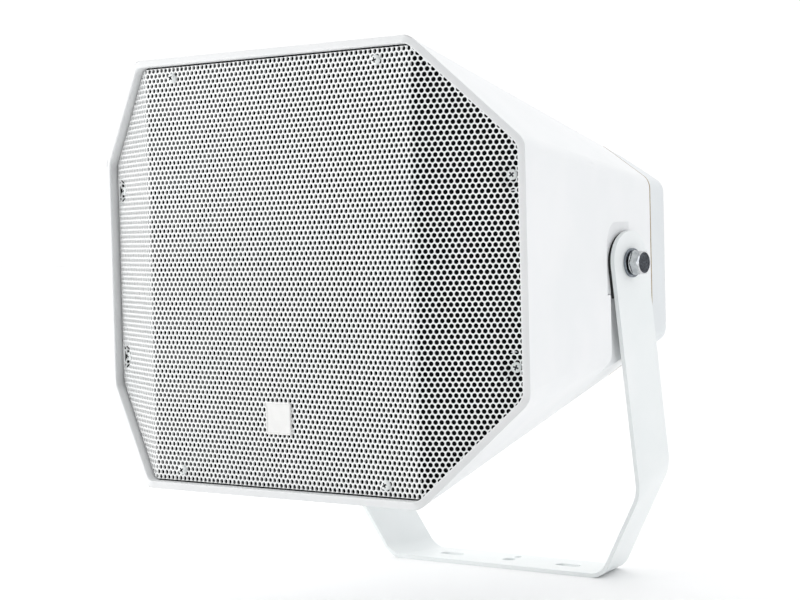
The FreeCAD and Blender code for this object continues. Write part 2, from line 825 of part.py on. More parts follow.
def make_cabinet():
    wall = S.cabinet_wall
    outer = make_outer_shell()
    within_rim = octagon_prism("recess_outline", WITHIN_RIM, FRONT_Y - CUT_REACH, BAFFLE_Y, RIM_CORNER)
    recess = common(within_rim, ahead_of_fold("recess_floor", RECESS))
    horn_body = octagon_loft("horn_flare", (inset(octagon_at(as_size(0)), wall), FRONT_Y),
                             (inset(octagon_at(S.baffle_depth), wall), BAFFLE_Y))
    horn = common(horn_body, behind_fold("ledge_back", RECESS + S.ledge_thick))
    mouth = octagon_prism("mouth_opening", inset(MOUTH, S.rim_width + S.ledge_width), FRONT_Y - CUT_REACH,
                          FRONT_Y + S.wing_sweep + RECESS + S.ledge_thick)
    chamber = octagon_loft("chamber", (inset(octagon_at(S.baffle_depth + S.baffle_thick), wall), BAFFLE_REAR_Y),
                           (inset(octagon_at(S.seam_depth), wall), SEAM_Y))
    low = -S.mouth_half_height
    rear = SEAM_Y + CUT_REACH
    seat_corners = [(-S.seat_front, -S.seat_low), (S.seat_rear, -S.seat_low), (S.seat_rear, S.seat_top),
                    (-S.seat_front, S.seat_top, S.seat_corner)]
    relief_corners = [(-S.relief_front, low), (rear, low), (rear, -S.seat_low), (-S.relief_front, -S.seat_low)]
    behind_seats = [(-S.seat_front - wall, low), (rear, low), (rear, S.seat_top + wall),
                    (-S.seat_front - wall, S.seat_top + wall)]
    seat_walls = side_prism("seat_walls", behind_seats, RELIEF_SPAN - wall, SIDE_REACH)
    inside = cut(chamber, fuse(*seat_walls))
    opening = rod(S.driver_opening, S.baffle_thick * 3, (0, BAFFLE_Y - S.baffle_thick, 0), AXES["Y"])
    seats = side_prism("seat_pockets", seat_corners, SEAT_SPAN, SIDE_REACH)
    reliefs = side_prism("relief_pockets", relief_corners, RELIEF_SPAN, SIDE_REACH)
    shell = cut(outer, fuse(recess, horn, mouth, inside, opening, *seats, *reliefs))

    bosses = [cover_boss_blocks()]
    boss_start = SEAT_SPAN - S.insert_boss_length
    bosses += mirrored(rod(S.insert_boss_radius, S.insert_boss_length, (boss_start, 0, 0), AXES["X"]))
    seat_start = RELIEF_SPAN - wall
    bosses += mirrored(rod(S.seat_boss_radius, SEAT_SPAN - seat_start, (seat_start, 0, 0), AXES["X"]))
    behind = RECESS - S.grille_recess + S.ledge_thick / 2
    boss_length = S.ledge_thick / 2 + S.grille_boss_length
    for place, axis in panel_screw_places():
        bosses.append(rod(S.grille_boss_radius, boss_length, along(place, axis, behind), axis))
    for place, axis in wing_screw_places():
        bosses.append(rod(S.grille_boss_radius, boss_length + S.dimple_depth, along(place, axis, behind), axis))
    solid = fuse(shell, *bosses)

    fit = S.screw_radius + S.screw_fit
    holes = [common(within_rim, dimples(S.grille_thick, S.dimple_room))]
    for place, axis in grille_screw_seats():
        holes.append(rod(fit, S.grille_screw_length + S.screw_fit, place, axis))
    for x, z in cover_screw_places():
        holes.append(rod(fit, S.cover_boss_length, (x, SEAM_Y - S.cover_boss_length, z), AXES["Y"]))
    for x, z in driver_screw_places():
        holes.append(rod(fit, S.baffle_thick, (x, BAFFLE_Y, z), AXES["Y"]))
    insert_start = SEAT_SPAN - S.insert_length
    holes += mirrored(rod(S.insert_radius, S.insert_length, (insert_start, 0, 0), AXES["X"]))
    holes += mirrored(rod(S.bolt_radius + S.washer_room, S.insert_boss_length, (boss_start, 0, 0), AXES["X"]))
    seat(cut(solid, fuse(*holes)), "horn_cabinet")


# Grille, screen, badge and their screws

def folded_sheet(label, depth, thick, margin, openings):
    """Sheet that follows the folded front, trimmed to the mouth, with round openings (x, z, radius)."""
    body = new_body(label)
    band = sketch_on(body, "XY_Plane")
    outline(band, fold_line(depth) + fold_line(depth + thick)[::-1])
    extrude(body, "Pad", band, S.mouth_half_height * 2, symmetric=True)
    trim = sketch_on(body, "XZ_Plane")
    outline(trim, corners_of((SIDE_REACH * 2, S.mouth_half_height * 2, SIDE_REACH, S.mouth_half_height)))
    outline(trim, corners_of(inset(MOUTH, S.rim_width + margin), RIM_CORNER - margin))
    extrude(body, "Pocket", trim, S.seam_depth * 3, symmetric=True)
    holes = sketch_on(body, "XZ_Plane")
    for x, z, radius in openings:
        circle(holes, x, z, radius)
    extrude(body, "Pocket", holes, S.seam_depth * 3, symmetric=True)
    return body


def perforations():
    """Staggered rows of openings that stay inside the grille's plain border and clear of its screws."""
    wide, high, flat, side = (size.value for size in inset(MOUTH, S.rim_width + S.hole_rim))
    row_pitch = S.hole_pitch * math.sqrt(3) / 2
    rows = int(high / row_pitch.value)
    columns = int(wide / S.hole_pitch.value) + 1
    screws = [(place, S.screw_head_radius) for place, _ in panel_screw_places()]
    screws += [(place, S.dimple_radius) for place, _ in wing_screw_places()]
    radius = S.hole_width / 2
    places = []
    for row in range(-rows, rows + 1):
        for column in range(-columns, columns + 1):
            x = S.hole_pitch * (column + (row % 2) / 2)
            z = row_pitch * row
            corner = (abs(x.value) - flat) / (wide - flat) + (abs(z.value) - side) / (high - side)
            inside = abs(x.value) <= wide and corner <= 1
            clear = all(math.hypot((x - place[0]).value, (z - place[2]).value) > (radius + around).value
                        for place, around in screws)
            if inside and clear:
                places.append((x, z, radius))
    return places


def make_grille():
    screw_hole = S.screw_radius + S.screw_room
    screw_openings = [(place[0], place[2], screw_hole) for place, _ in panel_screw_places()]
    sheet_openings = screw_openings + perforations()
    flat = folded_sheet("grille_sheet", S.grille_recess, S.grille_thick, S.grille_margin, sheet_openings)
    within = octagon_prism("grille_outline", inset(MOUTH, S.rim_width + S.grille_margin), FRONT_Y, BAFFLE_Y,
                           RIM_CORNER - S.grille_margin)
    pressed = fuse(flat, common(within, dimples(S.grille_thick, as_size(0))))
    removed = [dimples(as_size(0), as_size(0))]
    for place, axis in wing_screw_places():
        removed.append(rod(screw_hole, S.grille_screw_length, place, axis))
    seat(cut(pressed, fuse(*removed)), "grille")

    behind = S.grille_recess + S.grille_thick
    screen = folded_sheet("screen_sheet", behind, S.screen_thick, S.screen_margin, screw_openings)
    seat(cut(screen, dimples(S.grille_thick, S.dimple_room)), "dust_screen")

    badge = new_body("badge")
    half = S.badge_size / 2
    sketch = sketch_on(badge, "XZ_Plane", -(FRONT_Y + S.grille_recess))
    outline(sketch, [(x, z - S.badge_drop, S.badge_corner)
                     for x, z in ((half, half), (-half, half), (-half, -half), (half, -half))])
    extrude(badge, "Pad", sketch, S.badge_thick)
    seat(badge, "badge_plate")


def screw(place, axis, length):
    """Pan-head screw whose head stands on a place and whose shank points along the axis."""
    head = cone(S.screw_head_radius, S.screw_head_top, S.screw_head_height, place, -axis)
    return fuse(rod(S.screw_radius, length, place, axis), head)


def make_screws():
    grille = [screw(place, axis, S.grille_screw_length) for place, axis in grille_screw_seats()]
    seat(group(grille), "grille_screws")
    sunk = COVER_REAR_Y - S.cover_screw_sink
    cover = [screw((x, sunk, z), -AXES["Y"], S.cover_screw_length) for x, z in cover_screw_places()]
    seat(group(cover), "cover_screws")
    flange_y = DRIVER_Y + S.flange_thick
    driver = [screw((x, flange_y, z), -AXES["Y"], S.driver_screw_length) for x, z in driver_screw_places()]
    seat(group(driver), "driver_screws")


# Rear cover

def make_rear_cover():
    sections = [(octagon_at(S.seam_depth + S.seam_gap), COVER_Y, S.seam_corner_radius)]
    for angle in COVER_EDGE_STEPS:
        inward = S.cover_edge_radius * (1 - math.cos(math.radians(angle)))
        ahead = S.cover_edge_radius * (1 - math.sin(math.radians(angle)))
        octagon = inset(octagon_at(S.seam_depth + S.cover_depth - ahead), inward)
        sections.append((octagon, COVER_REAR_Y - ahead, S.seam_corner_radius - inward))
    outer = octagon_loft("cover_outer", *sections)
    inner = octagon_loft("cover_inner", (inset(octagon_at(S.seam_depth), S.cover_wall), SEAM_Y),
                         (inset(octagon_at(S.seam_depth + S.cover_depth), S.cover_edge_radius), COVER_INSIDE_Y))
    posts = [rod(S.cover_boss_radius, S.cover_depth - S.seam_gap - S.cover_wall, (x, COVER_Y, z), AXES["Y"])
             for x, z in cover_screw_places()]
    sunk = COVER_REAR_Y - S.cover_screw_sink
    holes = []
    for x, z in cover_screw_places():
        holes.append(rod(S.screw_radius + S.screw_room / 2, S.cover_depth, (x, COVER_Y, z), AXES["Y"]))
        holes.append(rod(S.screw_head_radius + S.screw_room, S.cover_depth, (x, sunk, z), AXES["Y"]))
    holes.append(rod(S.gland_radius, S.cover_depth, (0, COVER_INSIDE_Y, -S.gland_drop), AXES["Y"]))
    for x, z in strap_screw_places():
        hole_radius = S.strap_screw_radius + S.screw_fit
        holes.append(rod(hole_radius, S.strap_screw_length, (x, COVER_INSIDE_Y - S.strap_thick, z), AXES["Y"]))
    solid = fuse(cut(outer, inner), *posts)
    seat(cut(solid, fuse(*holes)), "rear_cover")

    gasket = new_body("gasket")
    sketch = sketch_on(gasket, "XZ_Plane", -SEAM_Y)
    seam = octagon_at(S.seam_depth + S.seam_gap)
    outline(sketch, corners_of(inset(seam, S.gasket_inset)))
    outline(sketch, corners_of(inset(seam, S.cabinet_wall)))
    extrude(gasket, "Pad", sketch, S.seam_gap, backwards=True)
    seat(gasket, "cover_gasket")


# Driver

DRIVER_Y = BAFFLE_REAR_Y + S.gasket_thick
BASKET_SEAT_Y = DRIVER_Y + S.basket_depth
PLATE_Y = BASKET_SEAT_Y + S.flange_thick
MAGNET_Y = PLATE_Y + S.plate_thick
POLE_PLATE_Y = MAGNET_Y + S.magnet_thick
COIL_OUTER = S.coil_radius + S.coil_thick
CONE_NECK_Y = DRIVER_Y + S.cone_edge_depth + S.cone_depth


def ring(inner, outer, near_y, thick):
    return [(inner, near_y), (outer, near_y), (outer, near_y + thick), (inner, near_y + thick)]


def make_driver():
    fit = S.screw_radius + S.screw_room / 2
    screws = [(x, z, fit) for x, z in driver_screw_places()]
    seat(spun("gasket_ring", ring(S.driver_opening, S.driver_radius, BAFFLE_REAR_Y, S.gasket_thick), screws),
         "driver_gasket")

    thick = S.flange_thick
    window_circle = (S.basket_mouth_radius + S.basket_seat_radius) / 2 + thick
    windows = []
    for number in range(BASKET_WINDOWS):
        angle = 2 * math.pi * number / BASKET_WINDOWS
        x = window_circle * math.cos(angle)
        z = window_circle * math.sin(angle)
        windows.append((x, z, S.basket_window_radius))
    basket = [(S.driver_radius, DRIVER_Y), (S.driver_radius, DRIVER_Y + thick),
              (S.basket_mouth_radius + thick, DRIVER_Y + thick), (S.basket_seat_radius + thick, PLATE_Y),
              (S.basket_hole_radius, PLATE_Y), (S.basket_hole_radius, BASKET_SEAT_Y),
              (S.basket_seat_radius, BASKET_SEAT_Y), (S.basket_mouth_radius, DRIVER_Y)]
    seat(spun("basket", basket, screws + windows), "driver_frame")

    gap_radius = COIL_OUTER + S.coil_gap
    seat(spun("front_plate", ring(gap_radius, S.plate_radius, PLATE_Y, S.plate_thick)), "top_plate")
    seat(spun("ferrite", ring(S.magnet_bore, S.magnet_radius, MAGNET_Y, S.magnet_thick)), "magnet")
    pole = S.coil_radius - S.coil_gap
    pole_end = POLE_PLATE_Y + S.plate_thick
    yoke = [(0, PLATE_Y), (pole, PLATE_Y), (pole, POLE_PLATE_Y), (S.plate_radius, POLE_PLATE_Y),
            (S.plate_radius, pole_end), (0, pole_end)]
    seat(spun("yoke", yoke), "pole_plate")

    coil_start = CONE_NECK_Y - S.cone_thick
    seat(spun("coil", ring(S.coil_radius, COIL_OUTER, coil_start, S.coil_length)), "voice_coil")
    edge_y = DRIVER_Y + S.cone_edge_depth
    sheet_of_cone = [(COIL_OUTER, CONE_NECK_Y), (S.cone_radius, edge_y), (S.cone_radius, edge_y + S.cone_thick),
                     (COIL_OUTER, CONE_NECK_Y + S.cone_thick)]
    seat(spun("paper_cone", sheet_of_cone), "cone")
    slope = S.cone_depth / (S.cone_radius - COIL_OUTER)
    cap_radius = COIL_OUTER + S.cap_overlap
    cap_y = CONE_NECK_Y - S.cap_overlap * slope
    skin = S.flex_thick
    top_y = cap_y - S.cap_rise
    shoulder_y = cap_y - S.cap_shoulder_rise
    cap = [(0, top_y), (S.cap_shoulder_radius, shoulder_y), (cap_radius, cap_y), (cap_radius - skin * 2, cap_y),
           (S.cap_shoulder_radius - skin, shoulder_y + skin), (0, top_y + skin)]
    seat(spun("cap", cap), "dust_cap")

    start = S.cone_radius + S.flex_room
    finish = S.basket_mouth_radius
    middle = (start + finish) / 2
    top = DRIVER_Y - S.roll_height
    lip_y = DRIVER_Y - skin
    surround = [(start, edge_y), (start + skin, lip_y - S.roll_height / 2), (middle, top),
                (finish - skin, lip_y - S.roll_height / 2), (finish, lip_y), (finish + S.surround_lip, lip_y),
                (finish + S.surround_lip, DRIVER_Y), (finish - skin, DRIVER_Y),
                (finish - skin * 2, lip_y - S.roll_height / 2 + skin), (middle, top + skin),
                (start + skin * 2, lip_y - S.roll_height / 2 + skin), (start + skin, edge_y)]
    seat(spun("half_roll", surround), "surround")

    inner = COIL_OUTER + S.flex_room
    outer = S.spider_radius - S.spider_lip
    crest = BASKET_SEAT_Y - S.spider_lip - skin
    trough = crest + S.spider_lip / 2
    waves = [(outer, BASKET_SEAT_Y - skin)]
    for number in range(1, SPIDER_WAVES + 1):
        waves.append((outer + (inner - outer) * number / SPIDER_WAVES, crest if number % 2 else trough))
    back = [(x, y + skin) for x, y in reversed(waves)]
    rim = [(S.spider_radius, BASKET_SEAT_Y), (S.spider_radius, BASKET_SEAT_Y - skin)]
    seat(spun("damper", rim + waves + back), "spider")


# Line transformer, terminals and cable gland on the cover

WINDING_DEPTH = S.core_stack + S.winding_build * 2
CORE_Y = COVER_INSIDE_Y - WINDING_DEPTH / 2 - S.winding_room
STRAP_Z = S.window_height / 2 + (S.core_height - S.window_height) / 4


def strap_screw_places():
    x = S.core_width / 2 + S.strap_thick + S.strap_foot / 2
    return [(side * x, S.transformer_lift + up * STRAP_Z) for side in (-1, 1) for up in (-1, 1)]


def rectangle(sketch, x, y, half_x, half_y):
    outline(sketch, [(x + half_x, y + half_y), (x - half_x, y + half_y),
                     (x - half_x, y - half_y), (x + half_x, y - half_y)])


def make_transformer():
    core = new_body("laminations")
    plates = sketch_on(core, "XZ_Plane", -CORE_Y)
    rectangle(plates, as_size(0), S.transformer_lift, S.core_width / 2, S.core_height / 2)
    window_x = (S.leg_width + S.window_width) / 2
    for x in (-window_x, window_x):
        rectangle(plates, x, S.transformer_lift, S.window_width / 2, S.window_height / 2)
    extrude(core, "Pad", plates, S.core_stack, symmetric=True)
    seat(core, "transformer_core")

    room = S.winding_room
    winding = new_body("winding")
    turns = sketch_on(winding, "XY_Plane", S.transformer_lift - S.window_height / 2 + room)
    rectangle(turns, as_size(0), CORE_Y, S.leg_width / 2 + S.window_width - room, WINDING_DEPTH / 2)
    rectangle(turns, as_size(0), CORE_Y, S.leg_width / 2 + room, S.core_stack / 2 + room)
    extrude(winding, "Pad", turns, S.window_height - room * 2)
    seat(winding, "transformer_coil")

    straps = []
    inner_x = S.core_width / 2
    outer_x = inner_x + S.strap_thick
    foot_x = outer_x + S.strap_foot
    inner_y = CORE_Y - S.core_stack / 2
    outer_y = inner_y - S.strap_thick
    foot_y = COVER_INSIDE_Y - S.strap_thick
    right = [(outer_x, outer_y), (outer_x, foot_y), (foot_x, foot_y), (foot_x, COVER_INSIDE_Y),
             (inner_x, COVER_INSIDE_Y), (inner_x, inner_y)]
    profile = right + mirror_image(right)
    for number, up in enumerate((-1, 1)):
        strap = new_body(f"strap_{number}")
        sketch = sketch_on(strap, "XY_Plane", S.transformer_lift + up * STRAP_Z)
        outline(sketch, profile)
        extrude(strap, "Pad", sketch, S.strap_width, symmetric=True)
        holes = sketch_on(strap, "XZ_Plane")
        for x, z in strap_screw_places():
            circle(holes, x, z, S.strap_screw_radius + S.screw_fit)
        extrude(strap, "Pocket", holes, S.seam_depth, symmetric=True)
        straps.append(strap)
    seat(group(straps), "transformer_straps")
    screws = []
    for x, z in strap_screw_places():
        place = (x, foot_y, z)
        head = cone(S.strap_head_radius, S.strap_head_top, S.strap_head_height, place, -AXES["Y"])
        screws.append(fuse(rod(S.strap_screw_radius, S.strap_screw_length, place, AXES["Y"]), head))
    seat(group(screws), "transformer_screws")


def clamp_places():
    return [S.clamp_pitch * step for step in (-1.5, -0.5, 0.5, 1.5)]


def make_terminals():
    block = new_body("block")
    profile = sketch_on(block, "YZ_Plane")
    near = COVER_INSIDE_Y - S.block_depth
    low = -S.block_drop - S.block_height
    step_z = -S.block_drop - S.block_step
    step_y = near + S.block_step
    outline(profile, [(near, low), (COVER_INSIDE_Y, low), (COVER_INSIDE_Y, -S.block_drop),
                      (step_y, -S.block_drop), (step_y, step_z), (near, step_z)])
    extrude(block, "Pad", profile, S.block_width, symmetric=True)
    clamps = sketch_on(block, "XZ_Plane", -near)
    clamp_z = (low + step_z) / 2
    for x in clamp_places():
        circle(clamps, x, clamp_z, S.clamp_radius)
    extrude(block, "Pocket", clamps, S.clamp_length)
    seat(block, "terminal_block")
    screws = [rod(S.clamp_radius - S.screw_fit, S.clamp_length, (x, near, clamp_z), AXES["Y"])
              for x in clamp_places()]
    seat(group(screws), "terminal_screws")


def make_gland():
    low = -S.gland_drop
    flange_end = COVER_REAR_Y + S.gland_flange
    thread_start = COVER_INSIDE_Y - S.gland_inner_length
    thread_length = flange_end + S.gland_outer_length - thread_start
    room = S.screw_fit
    body = fuse(hex_bar(S.gland_across_flats, S.gland_flange, (0, COVER_REAR_Y, low), AXES["Y"]),
                rod(S.gland_radius - room, thread_length, (0, thread_start, low), AXES["Y"]))
    bore = rod(S.gland_bore, thread_length, (0, thread_start, low), AXES["Y"])
    seal_start = flange_end + S.gland_outer_length - S.seal_length
    seal_radius = S.gland_radius - S.gland_wall
    pocket = rod(seal_radius, S.seal_length, (0, seal_start, low), AXES["Y"])
    seat(cut(body, fuse(bore, pocket)), "gland_body")
    seal = cut(rod(seal_radius - room, S.seal_length, (0, seal_start, low), AXES["Y"]),
               rod(S.seal_bore, S.seal_length, (0, seal_start, low), AXES["Y"]))
    seat(seal, "gland_seal")
    taper_start = flange_end + S.gland_nut_length
    taper = cone(S.gland_nut_radius, S.gland_nut_end_radius, S.gland_nut_taper, (0, taper_start, low), AXES["Y"])
    cap = fuse(rod(S.gland_nut_radius, S.gland_nut_length, (0, flange_end, low), AXES["Y"]), taper)
    cap_bore = fuse(rod(S.gland_radius, S.gland_outer_length, (0, flange_end, low), AXES["Y"]),
                    rod(S.gland_bore, S.gland_nut_length + S.gland_nut_taper, (0, flange_end, low), AXES["Y"]))
    seat(cut(cap, cap_bore), "gland_nut")
    locknut_place = (0, COVER_INSIDE_Y - S.locknut_thick, low)
    locknut = cut(hex_bar(S.gland_across_flats, S.locknut_thick, locknut_place, AXES["Y"]),
                  rod(S.gland_radius, S.locknut_thick, locknut_place, AXES["Y"]))
    seat(locknut, "gland_locknut")


# Pivot hardware, a mirrored pair of each

def washer(outer, inner, start, thick):
    return cut(rod(outer, thick, (start, 0, 0), AXES["X"]), rod(inner, thick, (start, 0, 0), AXES["X"]))


def make_pivots():
    arm_outer = S.arm_half_span + S.strip_thick
    washer_start = arm_outer + S.side_room
    spring_start = washer_start + S.washer_thick
    head_start = spring_start + S.spring_washer_thick
    hole = S.bolt_radius + S.washer_room
    insert_start = SEAT_SPAN - S.insert_length
    seat(group(mirrored(washer(S.insert_radius, S.bolt_radius + S.screw_fit, insert_start, S.insert_length))),
         "pivot_inserts")
    seat(group(mirrored(washer(S.pad_radius, hole, SEAT_SPAN, S.pad_thick))), "friction_pads")
    seat(group(mirrored(washer(S.washer_radius, hole, washer_start, S.washer_thick))), "flat_washers")
    springs = mirrored(washer(S.spring_washer_radius, hole, spring_start, S.spring_washer_thick))
    seat(group(springs), "spring_washers")
    bolt = fuse(hex_bar(S.bolt_across_flats, S.bolt_head_height, (head_start, 0, 0), AXES["X"]),
                rod(S.bolt_radius, S.bolt_length, (head_start - S.bolt_length, 0, 0), AXES["X"]))
    seat(group(mirrored(bolt)), "pivot_bolts")


make_bracket()
make_cabinet()
make_grille()
make_screws()
make_rear_cover()
make_driver()
make_transformer()
make_terminals()
make_gland()
make_pivots()
doc.recompute()

failed = [item.Label for item in doc.Objects if "Invalid" in item.State or "Error" in item.State]
failed += [piece.Label for piece in pieces if piece.Shape.isNull() or not piece.Shape.isValid()]
if failed:
    raise RuntimeError("these did not build: " + ", ".join(failed))

os.makedirs("parts", exist_ok=True)
for piece in pieces:
    piece.Shape.exportStep(f"parts/{piece.Label}.step")
    print(piece.Label, len(piece.Shape.Solids), "solids", round(piece.Shape.Volume / 1000, 2), "cm3")
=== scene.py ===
"""Horn speaker on a folded bracket: finishes, perforated grille, pivot hardware and studio."""
import json
import math

import bmesh
import bpy
from mathutils import Matrix, Vector


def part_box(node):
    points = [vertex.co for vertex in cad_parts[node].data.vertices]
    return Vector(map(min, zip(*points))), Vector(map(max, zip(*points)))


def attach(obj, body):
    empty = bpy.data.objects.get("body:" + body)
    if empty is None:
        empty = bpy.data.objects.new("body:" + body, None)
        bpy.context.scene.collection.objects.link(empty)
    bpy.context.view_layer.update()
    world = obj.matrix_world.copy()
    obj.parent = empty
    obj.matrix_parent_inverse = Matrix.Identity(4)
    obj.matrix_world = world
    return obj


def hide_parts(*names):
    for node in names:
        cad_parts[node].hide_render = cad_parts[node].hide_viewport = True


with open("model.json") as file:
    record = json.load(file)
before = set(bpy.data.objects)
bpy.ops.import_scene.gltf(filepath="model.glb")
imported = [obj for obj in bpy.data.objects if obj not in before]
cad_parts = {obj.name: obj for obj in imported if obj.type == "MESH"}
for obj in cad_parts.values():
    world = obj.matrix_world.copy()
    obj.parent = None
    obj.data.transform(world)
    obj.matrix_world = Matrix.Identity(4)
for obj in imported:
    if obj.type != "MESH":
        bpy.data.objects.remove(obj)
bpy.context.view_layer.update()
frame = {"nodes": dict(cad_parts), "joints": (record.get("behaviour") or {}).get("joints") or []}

MM = 0.001
NODES = frame["nodes"]
PIVOT = Vector(next(joint["pos_m"] for joint in frame["joints"] if joint["name"] == "tilt"))
FRONT_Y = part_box("horn_cabinet")[0][1]
AXIS_Z = PIVOT.z

# Mouth in millimetres: half its width and height, then half of its top side and of its upright side
MOUTH = MOUTH_WIDE, MOUTH_HIGH, MOUTH_FLAT, MOUTH_SIDE = 191.5, 154, 125, 84
MOUTH_CORNER = 16
MOUTH_RUN = MOUTH_WIDE - MOUTH_FLAT
MOUTH_RISE = MOUTH_HIGH - MOUTH_SIDE
WING_SWEEP = 32

# Rim round the mouth, in millimetres, with its slopes and the horn's as ratios
RIM_WIDTH = 5.7
RIM_BEVEL = 1.74
RIM_CREST = 4.4
RIM_SLOPE = 0.366
RIM_WALL = 9.6
OUTER_REACH = 0.8
CREST_BEFORE = 0.6
CREST_AFTER = 0.4
INNER_DROP = 1.2
TOP_TAPER = 0.217
SLANT_TAPER = 0.262
SLANT_WAY = 0.72

# Horn at its seam, measured as the mouth is, and the lid behind it, in millimetres
SEAM = 122, 89.5, 80, 61
SEAM_CORNER = 12
SEAM_DEPTH = 297
COVER_DEPTH = 32
COVER_EDGE = 7
COVER_LIFT = 2.5
COVER_NOSE = 2.5
COVER_GAP = 1
COVER_BREAK = 0.4
COVER_TURN_IN = 1.2
COVER_HAIR = 0.01

# Sealing strip in the seam, in millimetres
STRIP_MIDDLE = 0.5
STRIP_HALF = 0.95
STRIP_ROOT = 1.3
STRIP_EDGE = 0.05
STRIP_CREST = 0.15

# Sheet grille and the gauze behind it, in millimetres
WING_RUN = 63.244
FOLD_ANGLE = math.atan2(WING_SWEEP, WING_RUN)
FOLD_X = 120.93
FOLD_RADIUS = 11
HALF_BEND = FOLD_RADIUS * FOLD_ANGLE / 2
GRILLE_DEPTH = 6.8
GRILLE_THICK = 1.3
GRILLE_MARGIN = 1.2
HOLE_PITCH = 4.0
ROW_PITCH = HOLE_PITCH * math.sqrt(3) / 2
HOLE_RADIUS = 1.6
HOLE_SIDES = 12
GAUZE_GAP = 0.05

# Grille screws and the dents round those in the wings, in millimetres
PANEL_SCREW = (93, 139.5)
WING_SCREW = (178.2, 62)
WING_SCREW_U = FOLD_X + (WING_SCREW[0] - FOLD_X) / math.cos(FOLD_ANGLE)
DENT_RADIUS = 11
DENT_FLOOR = 4.6
DENT_DEPTH = 3.7
DENT_THICK = 0.7
# Share of a dent's depth from which the sheet is at its thinnest
THIN_FROM = 0.25
SCREW_RADIUS = 2
SCREW_LENGTH = 11
HEAD_HEIGHT = 2.4
HEAD_CURVE = (3.5, 0), (3.5, 0.8), (3.35, 1.4), (3.0, 1.95), (2.45, 2.3), (2.2, HEAD_HEIGHT)
RECESS_HALF = 0.55
RECESS_REACH = 1.85
RECESS_FLOOR = 0.9
RECESS_SHRINK = 0.75
# Turn of each screw's cross recess, in degrees
SCREW_SPINS = 12, 40, 25, 70, 55, 8, 33, 80

# Badge on the grille, in millimetres
BADGE_CORNER = 1.2
BADGE_EDGE = 0.35
BADGE_BREAK = 0.1
BADGE_BORDER = 1.0
BADGE_SINK = 0.3

# Pads and pivot hardware at the bracket's arms, in millimetres, with angles in degrees
ARM_LEAN = 9.7
ARM_FACE = 141.9
PAD_RADIUS = 22.4
PAD_DROP = 22
PAD_THICK = 2.3
WASHER_THICK = 2
WASHER_BORE = 5.3
WASHER_RADIUS = 10.7
WASHER_BREAK = 0.2
SPRING_THICK = 2.5
SPRING_BORE = 5.2
SPRING_RADIUS = 9
SPRING_CLEAR = 0.65
SPRING_BREAK_ACROSS = 0.4
SPRING_BREAK_ALONG = 0.3
SPRING_GAP = 8
SPRING_RISE = 0.4
BOLT_RADIUS = 5
BOLT_REACH = 18
HEX_FLATS = 17
HEX_HEIGHT = 6.6
HEX_CROWN = HEX_FLATS / 2 * 0.9
END_RADIUS = HEX_CROWN * 0.92
HEX_CHAMFER = 30
HEX_START = WASHER_THICK + SPRING_THICK
HEX_TOP = HEX_START + HEX_HEIGHT
END_SINK = 0.25

# Steps that round stretches are drawn in
CURVE_STEPS = 4
HORN_STEPS = 6
RIM_STEPS = 8
PAD_STEPS = 24
SCREW_STEPS = 24
PIVOT_STEPS = 48


# Materials
# A pixel of the render is about 0.65 mm of the object. Real grain, pores, tool marks and threads
# are finer than that, so they are drawn 0.5 to 2 mm wide to show.

# Width of one band of a wave texture that has a scale of one
WAVE_PERIOD = math.pi / 10


def linear(hex_colour):
    """sRGB hex colour as linear RGBA."""
    channels = [int(hex_colour[start:start + 2], 16) / 255 for start in (1, 3, 5)]
    return [c / 12.92 if c <= 0.04045 else ((c + 0.055) / 1.055) ** 2.4 for c in channels] + [1.0]


def add(tree, kind, settings=None, **links):
    """Adds a node, with settings by attribute or input name, and links by input name."""
    node = tree.nodes.new(kind)
    for name, value in (settings or {}).items():
        if name in node.inputs:
            node.inputs[name].default_value = value
        else:
            setattr(node, name, value)
    for name, socket in links.items():
        tree.links.new(socket, node.inputs[name.replace("_", " ")])
    return node


def new_material(name, **surface):
    """Material with a principled surface, and its tree, object coordinates and surface."""
    material = bpy.data.materials.new(name)
    material.use_nodes = True
    tree = material.node_tree
    shader = tree.nodes["Principled BSDF"]
    for socket, value in surface.items():
        shader.inputs[socket.replace("_", " ")].default_value = value
    place = tree.nodes.new("ShaderNodeTexCoord").outputs["Object"]
    return material, tree, place, shader


def per_mm(size):
    """Noise scale for features of a size in millimetres."""
    return 1 / (size * MM)


def toned(tree, place, shader, dark, light, size):
    """Colour that drifts between two tones over patches of a size in millimetres."""
    patches = add(tree, "ShaderNodeTexNoise", {"Scale": per_mm(size), "Detail": 3.0}, Vector=place)
    ramp = add(tree, "ShaderNodeValToRGB", Fac=patches.outputs["Fac"])
    dark_end, light_end = ramp.color_ramp.elements
    dark_end.position = 0.35
    dark_end.color = linear(dark)
    light_end.position = 0.65
    light_end.color = linear(light)
    tree.links.new(ramp.outputs["Color"], shader.inputs["Base Color"])


def grained(tree, place, shader, size, detail, strength, depth):
    """Noise of a size that raises the surface by a depth, both in millimetres. Gives back the noise."""
    grain = add(tree, "ShaderNodeTexNoise", {"Scale": per_mm(size), "Detail": detail}, Vector=place)
    bump = add(tree, "ShaderNodeBump", {"Strength": strength, "Distance": depth * MM},
               Height=grain.outputs["Fac"])
    tree.links.new(bump.outputs["Normal"], shader.inputs["Normal"])
    return grain.outputs["Fac"]


def moulded_abs(name, dark, light):
    """ABS moulded in a spark-eroded tool: satin white with a fine even grain and a soft highlight."""
    material, tree, place, shader = new_material(name, Roughness=0.42, IOR=1.53)
    toned(tree, place, shader, dark, light, size=60)
    grained(tree, place, shader, size=0.7, detail=2.0, strength=0.25, depth=0.05)
    return material


def powder_coated_steel(name, dark, light):
    """Sheet steel under white powder coat: flows out to a faint orange peel, cooler than the plastic."""
    material, tree, place, shader = new_material(name, Roughness=0.36, IOR=1.5)
    toned(tree, place, shader, dark, light, size=45)
    grained(tree, place, shader, size=1.6, detail=1.0, strength=0.2, depth=0.06)
    return material


